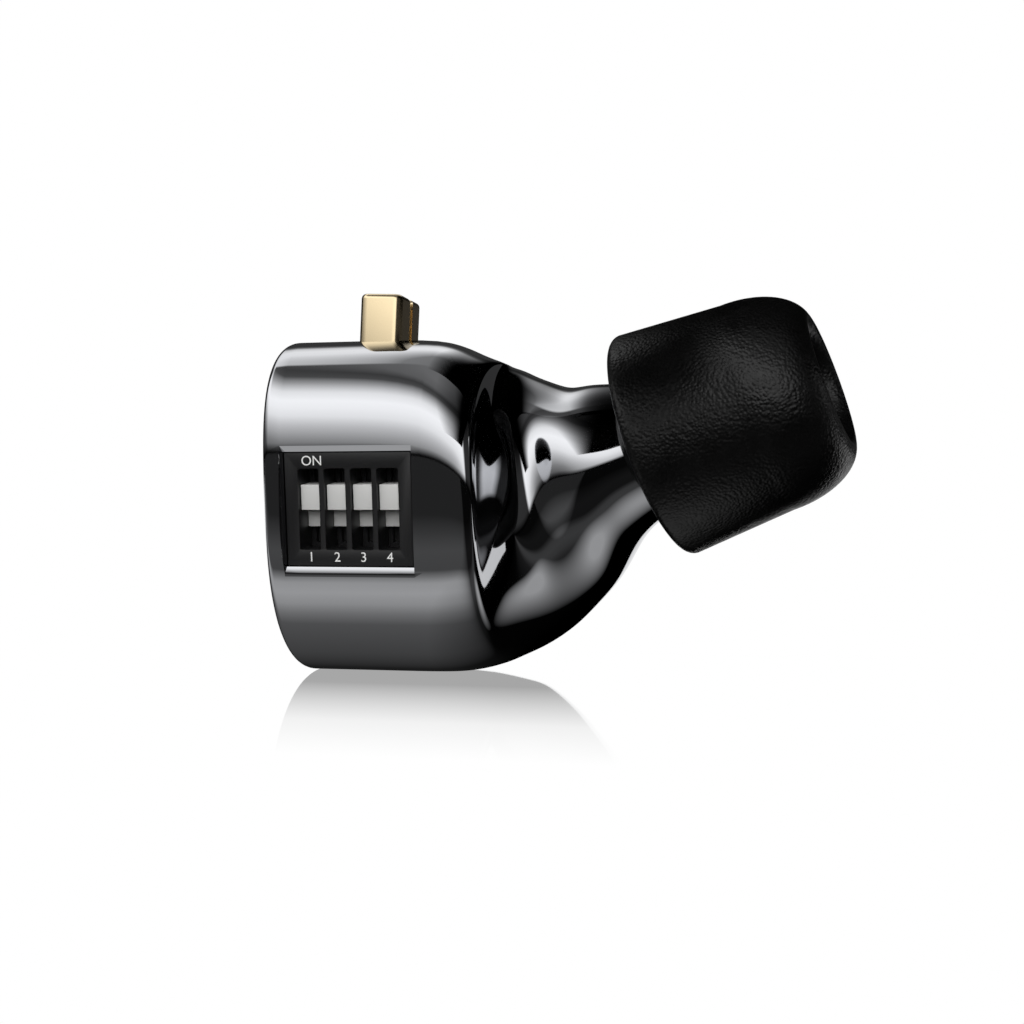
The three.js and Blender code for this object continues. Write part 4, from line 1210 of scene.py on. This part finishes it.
@dataclass
class CableSocket:
    """The gold-plated two-pin socket, upright on the shell's top. Its top is at height 0."""

    frame: Matrix
    width: float = 2.1
    depth: float = 3.6
    corner: float = 0.42
    wall: float = 0.26
    length: float = 4.3
    top_round: float = 0.24
    notch: float = 0.14
    pin_hole: float = 0.39
    contact_wall: float = 0.14
    pitch: float = 1.75
    recess: float = 0.12
    contact_recess: float = 0.25
    tail: tuple[float, float] = (0.25, 0.5)  # radius and length of the stub under a contact
    slack: float = 0.05
    past: float = 9.0  # how far up and down the cutters run from the socket's top

    def post(
        self, name: str, width: float, depth: float, corner: float, low: float, high: float
    ) -> bpy.types.Object:
        """A block with rounded uprights, about the socket's axis.

        Args:
            name: The piece's name.
            width: Its size along X.
            depth: Its size along Y.
            corner: The rounding of its uprights.
            low: Its underside.
            high: Its top.

        Returns:
            The block.
        """
        block = box_piece(name, (-width / 2, -depth / 2, low), (width / 2, depth / 2, high))
        round_edges(block, corner, 8, lambda a, b: abs(a.z - b.z) > 1)
        return block

    def sleeve(self) -> bpy.types.Object:
        """Builds the sleeve with a rounded top edge and a key groove in its ear side."""
        body = self.post("socket_body", self.width, self.depth, self.corner, -self.length, 0)
        half_groove = self.notch * 1.5
        low = (self.width / 2 - self.notch, -half_groove, -self.past)
        groove = box_piece("groove_cutter", low, (self.width, half_groove, self.past))
        combine(body, [groove])
        round_edges(body, self.top_round, 5, lambda a, b: min(a.z, b.z) > -0.001)
        inner = (self.width - 2 * self.wall, self.depth - 2 * self.wall, self.corner - self.wall + 0.1)
        combine(body, [self.post("socket_hollow", *inner, -self.past, self.past)])
        return body

    def insert(self) -> bpy.types.Object:
        """Builds the insulator with a countersunk hole over each contact."""
        rim = self.wall + self.slack
        inner = (self.width - 2 * rim, self.depth - 2 * rim, 0.2)
        body = self.post("socket_insulator", *inner, -self.length, -self.recess)
        radius = self.pin_hole + self.contact_wall + 0.04
        for side in (-1, 1):
            hole = disc_piece("hole_cutter", radius, -self.past, self.past, 48)
            hole.data.transform(Matrix.Translation((0, side * self.pitch / 2, 0)))
            combine(body, [hole])
        soften(body, 0.04, 2)
        return body

    def contact(self) -> bpy.types.Object:
        """Builds one round contact with a flared mouth."""
        outer = self.pin_hole + self.contact_wall
        top = -self.contact_recess
        foot = -self.length
        thin, drop = self.tail
        profile = [(0, foot - drop), (thin, foot - drop), (thin, foot), (outer, foot)]
        profile += [(outer, top), (self.pin_hole + 0.08, top), (self.pin_hole, top - 0.1)]
        profile += [(self.pin_hole, foot + 0.4), (0, foot + 0.4)]
        return turned_piece("contact", profile, 48)

    def build(self, wardrobe: Wardrobe) -> None:
        """Builds the sleeve, insulator and contacts."""
        sleeve = settle(self.sleeve(), self.frame, EARPIECE, ["socket_sleeve"])
        dress(sleeve, wardrobe.get(Finish.GOLD_PLATE))
        insert = settle(self.insert(), self.frame, EARPIECE, ["socket_insert"])
        dress(insert, wardrobe.get(Finish.SWITCH_BODY))
        pattern = self.contact()
        for name, side in (("front", -1), ("rear", 1)):
            contact = duplicate(pattern, f"{name}_contact", Vector((0, side * self.pitch / 2, 0)))
            settle(contact, self.frame, EARPIECE, [f"{name}_pin_contact"])
            dress(contact, wardrobe.get(Finish.GOLD_PLATE))
        bpy.data.objects.remove(pattern, do_unlink=True)


# ---- What is inside ----------------------------------------------------------------------------------


@dataclass
class Interior:
    """The circuit, drivers and wires, which keep their CAD shapes."""

    chips: tuple[str, ...] = (
        "resistor_1", "resistor_2", "resistor_3", "resistor_4", "capacitor_1", "capacitor_2",
    )
    steel: tuple[str, ...] = (
        "driver_basket", "driver_yoke", "driver_pole_plate", "driver_grille", "tweeter_armature",
        "midrange_armature",
    )
    rubber: tuple[str, ...] = ("tweeter_sound_tube", "midrange_sound_tube")
    red: tuple[str, ...] = ("socket_wire_red", "driver_wire_red", "midrange_wire")
    blue: tuple[str, ...] = ("socket_wire_blue", "driver_wire_blue", "tweeter_wire")

    def build(self, wardrobe: Wardrobe) -> None:
        """Dresses every piece."""
        wardrobe.dress_nodes(Finish.SOLDER_MASK, ["circuit_board"])
        wardrobe.dress_nodes(Finish.CERAMIC, self.chips)
        wardrobe.dress_nodes(Finish.SATIN_STEEL, self.steel)
        wardrobe.dress_nodes(Finish.ELASTOMER, self.rubber)
        wardrobe.dress_nodes(Finish.MAGNET_NICKEL, ["driver_magnet"])
        wardrobe.dress_nodes(Finish.COPPER_WINDING, ["voice_coil"])
        wardrobe.dress_nodes(Finish.FILM, ["diaphragm", "diaphragm_surround"])
        wardrobe.dress_nodes(Finish.RED_ENAMEL, self.red)
        wardrobe.dress_nodes(Finish.BLUE_ENAMEL, self.blue)


# ---- The studio --------------------------------------------------------------------------------------


# For a stage piece that is seen only mirrored
ONLY_MIRRORED = {
    "visible_camera": False,
    "visible_diffuse": False,
    "visible_shadow": False,
    "visible_transmission": False,
}


@dataclass
class Studio:
    """A pale glossy floor, a white surround, soft lights and the camera."""

    floor_height: float
    centre: float = 9.0
    camera_place: tuple[float, float, float] = (25.06, -70.86, -0.24)
    camera_yaw: float = 12.0
    lens: float = 49.22
    key_strength: float = 1.4
    key_width: float = math.radians(50)
    key_turn: tuple[float, float, float] = (math.radians(68), 0.0, math.radians(6))
    floor_radius: float = 1.5  # in metres
    surround_radius: float = 1.6  # in metres
    under_gap: float = 0.02
    # The floor's mirror: where it fades in along Y, ends at the back and fades out to both sides
    mirror_fade: tuple[float, float] = (-27, -8)
    mirror_back: float = 10
    mirror_sides: tuple[float, float] = (15, 24)
    strip_place: tuple[float, float] = (16, -4)  # Y and height
    strip_size: tuple[float, float] = (200, 8.4)
    lit_reach: float = 50
    side_fade: tuple[float, float] = (7, 12)  # X where the lit floor dims
    side_level: float = 0.12
    patch_fade: tuple[float, float] = (6.5, 2)  # distances from the lit patch's middle
    patch_level: float = 0.55
    card_thickness: float = 0.1
    horizon: float = 0.1  # where height 0 lies on each box's ramp
    lean: float = math.radians(16)
    # Painted light on the floor seen in reflections, with painted shade under the object
    # [distance in front of the object's middle in millimetres, brightness] over the floor
    lit_floor: tuple[tuple[float, float], ...] = (
        (0, 0.0), (4, 0.015), (6, 0.09), (8.8, 0.15), (10, 0.3), (11.2, 0.5), (12.8, 0.61), (14.6, 0.55),
        (16, 0.3), (17.5, 0.1), (24, 0.11), (34, 0.07), (50, 0.03),
    )
    lit_patch: tuple[float, float, float] = (11, -6.5, 0)
    # Black cards over the neck: lowest and highest X and Y, and the height
    cards: tuple[tuple[float, float, float, float, float], ...] = ((8, 60, -10, 40, 20), (9, 19, -27, -6, 9))
    card_fade: float = 6.0
    # How far round to the ear side the front box reaches, as the X of a direction
    box_edge: tuple[float, float] = (0.46, 0.62)
    # [height in degrees, brightness] up each box
    front_box: tuple[tuple[float, float], ...] = (
        (-9, 0.1), (-2, 0.4), (6, 0.98), (12, 1.5), (18, 1.7), (24, 1.8), (32, 1.5), (41, 0.6), (47, 0.12),
        (52, 0.08), (58, 0.2), (70, 0.25), (90, 0.25),
    )
    rear_box: tuple[tuple[float, float], ...] = (
        (-9, 0.03), (26, 0.05), (30, 0.2), (34, 1.0), (40, 1.4), (46, 1.4), (55, 0.8), (62, 0.35), (90, 0.25),
    )

    def camera(self) -> None:
        """Adds the camera, level and turned a little to the ear side."""
        data = bpy.data.cameras.new("camera")
        camera = bpy.data.objects.new("camera", data)
        bpy.context.scene.collection.objects.link(camera)
        camera.location = Vector(self.camera_place) * MM
        camera.rotation_euler = (math.pi / 2, 0, math.radians(self.camera_yaw))
        data.lens = self.lens
        data.sensor_width = 36.0
        data.clip_start = 0.001
        data.clip_end = 20.0
        bpy.context.scene.camera = camera

    def white_glow(self, name: str, strength: float) -> bpy.types.Material:
        """A plain white emission material."""
        material, tree = blank_material(name)
        glow = add_node(tree, "ShaderNodeEmission", {"Color": (1, 1, 1, 1), "Strength": strength})
        add_node(tree, "ShaderNodeOutputMaterial", links={"Surface": glow.outputs["Emission"]})
        return material

    def card_material(self, name: str, left: float) -> bpy.types.Material:
        """Black felt that thins out towards its left edge.

        Args:
            name: The material's name.
            left: The card's left edge in millimetres.

        Returns:
            The material.
        """
        material, tree = blank_material(name)
        where = add_node(tree, "ShaderNodeTexCoord").outputs["Object"]
        split = add_node(tree, "ShaderNodeSeparateXYZ", links={"Vector": where})
        thick = add_node(
            tree,
            "ShaderNodeMapRange",
            {"From Min": left * MM, "From Max": (left + self.card_fade) * MM},
            {"Value": split.outputs["X"]},
        )
        clear = add_node(tree, "ShaderNodeBsdfTransparent", {"Color": (1, 1, 1, 1)})
        felt = add_node(tree, "ShaderNodeEmission", {"Color": (0, 0, 0, 1), "Strength": 0.0})
        both = add_node(
            tree,
            "ShaderNodeMixShader",
            links={"Fac": thick.outputs["Result"], 1: clear.outputs["BSDF"], 2: felt.outputs["Emission"]},
        )
        add_node(tree, "ShaderNodeOutputMaterial", links={"Surface": both.outputs["Shader"]})
        return material

    def floor_material(self) -> bpy.types.Material:
        """White acrylic: it mirrors what stands on it, and less of it towards the front."""
        material, tree = blank_material("floor_white_acrylic")
        where = add_node(tree, "ShaderNodeTexCoord").outputs["Object"]
        split = add_node(tree, "ShaderNodeSeparateXYZ", links={"Vector": where})
        fade = self.mirror_fade
        reach = add_node(
            tree,
            "ShaderNodeMapRange",
            {"From Min": fade[0] * MM, "From Max": fade[1] * MM, "To Min": 0.0, "To Max": 1.0},
            {"Value": split.outputs["Y"]},
        )
        share = ramp(tree, reach.outputs["Result"], [(0.0, 0.0), (0.4, 0.12), (1.0, 0.62)])
        # Behind the object nothing is mirrored, so the floor stays as pale as the surround
        front = add_node(
            tree, "ShaderNodeMath", {1: self.mirror_back * MM}, {0: split.outputs["Y"]}, operation="LESS_THAN"
        )
        mirrored = add_node(
            tree, "ShaderNodeMath", links={0: share, 1: front.outputs["Value"]}, operation="MULTIPLY"
        )
        # Nor is anything far to the left and right
        across = add_node(tree, "ShaderNodeMath", links={0: split.outputs["X"]}, operation="ABSOLUTE")
        inner, outer = self.mirror_sides
        near = add_node(
            tree,
            "ShaderNodeMapRange",
            {"From Min": inner * MM, "From Max": outer * MM, "To Min": 1.0, "To Max": 0.0},
            {"Value": across.outputs["Value"]},
        )
        mirrored = add_node(
            tree,
            "ShaderNodeMath",
            links={0: mirrored.outputs["Value"], 1: near.outputs["Result"]},
            operation="MULTIPLY",
        )
        pale = add_node(tree, "ShaderNodeEmission", {"Color": (1, 1, 1, 1), "Strength": 1.0})
        gloss = add_node(tree, "ShaderNodeBsdfGlossy", {"Color": (1, 1, 1, 1), "Roughness": 0.03})
        both = add_node(
            tree,
            "ShaderNodeMixShader",
            links={"Fac": mirrored.outputs["Value"], 1: pale.outputs["Emission"], 2: gloss.outputs["BSDF"]},
        )
        add_node(tree, "ShaderNodeOutputMaterial", links={"Surface": both.outputs["Shader"]})
        return material

    def under_material(self) -> bpy.types.Material:
        """What polished pieces mirror below them: a painted strip of lit floor in front, painted shade under
        the object, and dark further off.
        """
        material, tree = blank_material("floor_in_reflections")
        where = add_node(tree, "ShaderNodeTexCoord").outputs["Object"]
        split = add_node(tree, "ShaderNodeSeparateXYZ", links={"Vector": where})
        ahead = add_node(
            tree,
            "ShaderNodeMapRange",
            {"From Min": 0.0, "From Max": -self.lit_reach * MM},
            {"Value": split.outputs["Y"]},
        )
        steps = [(at / self.lit_reach, value) for at, value in self.lit_floor]
        level = ramp(tree, ahead.outputs["Result"], steps)
        first, last = ((x - self.centre) * MM for x in self.side_fade)
        aside = add_node(
            tree,
            "ShaderNodeMapRange",
            {"From Min": first, "From Max": last, "To Min": 1.0, "To Max": self.side_level},
            {"Value": split.outputs["X"]},
        )
        # A second lit patch lies in front of the neck
        patch = add_node(
            tree, "ShaderNodeVectorMath", {1: Vector(self.lit_patch) * MM}, {0: where}, operation="DISTANCE"
        )
        edge, core = self.patch_fade
        glimmer = add_node(
            tree,
            "ShaderNodeMapRange",
            {"From Min": edge * MM, "From Max": core * MM, "To Min": 0.0, "To Max": self.patch_level},
            {"Value": patch.outputs["Value"]},
        )
        strip = add_node(
            tree,
            "ShaderNodeVectorMath",
            links={0: level, "Scale": aside.outputs["Result"]},
            operation="SCALE",
        )
        total = add_node(
            tree, "ShaderNodeVectorMath", links={0: strip.outputs["Vector"], 1: glimmer.outputs["Result"]}
        )
        glow = add_node(tree, "ShaderNodeEmission", links={"Color": total.outputs["Vector"]})
        add_node(tree, "ShaderNodeOutputMaterial", links={"Surface": glow.outputs["Emission"]})
        return material

    def steps(self, box: Iterable[tuple[float, float]]) -> list[tuple[float, float]]:
        """A box's brightness steps, with each height as a place on its ramp."""
        return [(self.horizon + 0.01 * height, level) for height, level in box]

    def world(self) -> None:
        """Lights the scene from above, behind and in front, with black gaps between the soft boxes."""
        world = bpy.data.worlds.new("studio")
        bpy.context.scene.world = world
        world.use_nodes = True
        tree = world.node_tree
        tree.nodes.clear()
        direction = add_node(tree, "ShaderNodeTexCoord").outputs["Generated"]
        split = add_node(tree, "ShaderNodeSeparateXYZ", links={"Vector": direction})
        # The boxes lean over to the ear side, so heights are measured from a pole that leans with them
        pole = Vector((math.sin(self.lean), 0, math.cos(self.lean)))
        dot = add_node(tree, "ShaderNodeVectorMath", {1: pole}, {0: direction}, operation="DOT_PRODUCT")
        height = add_node(tree, "ShaderNodeMath", links={0: dot.outputs["Value"]}, operation="ARCSINE")
        share = add_node(
            tree,
            "ShaderNodeMapRange",
            {"From Min": 0.0, "From Max": math.pi / 2, "To Min": self.horizon, "To Max": 1.0},
            {"Value": height.outputs["Value"]},
        )
        share.clamp = False
        front = ramp(tree, share.outputs["Result"], self.steps(self.front_box))
        behind = ramp(tree, share.outputs["Result"], self.steps(self.rear_box))
        edge = add_node(
            tree,
            "ShaderNodeMapRange",
            {"From Min": self.box_edge[0], "From Max": self.box_edge[1], "To Min": 1.0, "To Max": 0.03},
            {"Value": split.outputs["X"]},
        )
        ended = add_node(
            tree, "ShaderNodeVectorMath", links={0: front, "Scale": edge.outputs["Result"]}, operation="SCALE"
        )
        side = add_node(
            tree, "ShaderNodeMapRange", {"From Min": -0.03, "From Max": 0.03}, {"Value": split.outputs["Y"]}
        )
        sky = add_node(
            tree,
            "ShaderNodeMix",
            links={"Factor": side.outputs["Result"], "A": ended.outputs["Vector"], "B": behind},
            data_type="RGBA",
        )
        # A black card stands all round at the horizon
        card = add_node(
            tree, "ShaderNodeMapRange", {"From Min": 0.005, "From Max": 0.06}, {"Value": split.outputs["Z"]}
        )
        light = add_node(
            tree,
            "ShaderNodeBackground",
            links={"Color": sky.outputs["Result"], "Strength": card.outputs["Result"]},
        )
        add_node(tree, "ShaderNodeOutputWorld", links={"Surface": light.outputs["Background"]})

    def key_light(self) -> None:
        """Adds a broad soft lamp at the front that only matt pieces show."""
        data = bpy.data.lights.new("key", "SUN")
        data.energy = self.key_strength
        data.angle = self.key_width
        lamp = bpy.data.objects.new("key", data)
        bpy.context.scene.collection.objects.link(lamp)
        lamp.rotation_euler = self.key_turn
        lamp.visible_glossy = False

    def staged(self, piece: bpy.types.Object, material: bpy.types.Material, **seen: bool) -> None:
        """Gives a stage piece its material and limits what sees it.

        Args:
            piece: The stage piece.
            material: Its material.
            **seen: Ray visibility, such as visible_camera=False.
        """
        dress(piece, material)
        for key, value in seen.items():
            setattr(piece, key, value)

    def disc(self, name: str, height: float) -> bpy.types.Object:
        """A wide disc under the object.

        Args:
            name: Its name.
            height: Its height in millimetres.

        Returns:
            The disc.
        """
        deselect()
        bpy.ops.mesh.primitive_circle_add(
            vertices=96,
            radius=self.floor_radius,
            fill_type="NGON",
            location=(self.centre * MM, 0, height * MM),
        )
        return added(name)

    def build(self) -> None:
        """Builds the stage, the lights and the camera."""
        floor = self.disc("floor", self.floor_height)
        self.staged(floor, self.floor_material(), visible_glossy=False, visible_diffuse=False)
        under = self.disc("floor_in_reflections", self.floor_height - self.under_gap)
        self.staged(
            under, self.under_material(), visible_camera=False, visible_diffuse=False, visible_shadow=False
        )
        deselect()
        bpy.ops.mesh.primitive_uv_sphere_add(segments=64, ring_count=32, radius=self.surround_radius)
        dome = added("surround")
        self.staged(
            dome, self.white_glow("white_surround", 1.0), visible_diffuse=False, visible_glossy=False,
            visible_shadow=False, visible_transmission=False,
        )
        # A low pale strip behind the object, which only the floor mirrors
        deselect()
        y, z = self.strip_place
        bpy.ops.mesh.primitive_plane_add(size=1, location=(self.centre * MM, y * MM, z * MM))
        strip = added("strip_behind")
        strip.scale = (self.strip_size[0] * MM, self.strip_size[1] * MM, 1)
        strip.rotation_euler = (math.pi / 2, 0, 0)
        self.staged(strip, self.white_glow("white_strip", 1.0), **ONLY_MIRRORED)
        # Black cards over the neck keep the boxes out of it
        for number, (left, right, front, back, height) in enumerate(self.cards, 1):
            top = height + self.card_thickness
            card = box_piece(f"card_{number}", (left, front, height), (right, back, top))
            card.data.transform(Matrix.Scale(MM, 4))
            self.staged(card, self.card_material(f"black_card_{number}", left), **ONLY_MIRRORED)
        self.world()
        self.key_light()
        self.camera()
        bpy.context.scene.view_settings.view_transform = "Standard"


def main() -> None:
    """Builds every sub-assembly in order."""
    low, high = CAD_BOX
    wardrobe = Wardrobe()
    form = Form()
    depth = Vector((1, 0, 0)).cross(SWITCH_UP) * -1
    switch = TuningSwitch(Matrix())
    front = middle("switch_cover") - depth * (switch.cover_depth / 2) * MM
    switch.frame = place(front, SWITCH_UP, Vector((1, 0, 0)))
    nozzle_frame = place(Vector(form.seat) * MM, NOZZLE_AXIS, Vector((0, 0, 1)))
    socket_top, socket_up = mount("cable_socket")
    socket = CableSocket(Matrix())
    socket.frame = place(socket_top + socket_up * socket.recess * MM, socket_up, Vector((1, 0, 0)))
    Studio(low.z / MM).build()
    Housing(form, switch.frame, socket.frame).build(wardrobe)
    Nozzle(nozzle_frame).build(wardrobe)
    EarTip(nozzle_frame).build(wardrobe)
    switch.build(wardrobe)
    socket.build(wardrobe)
    Interior().build(wardrobe)
    deselect()


if __name__ == "__main__":
    main()
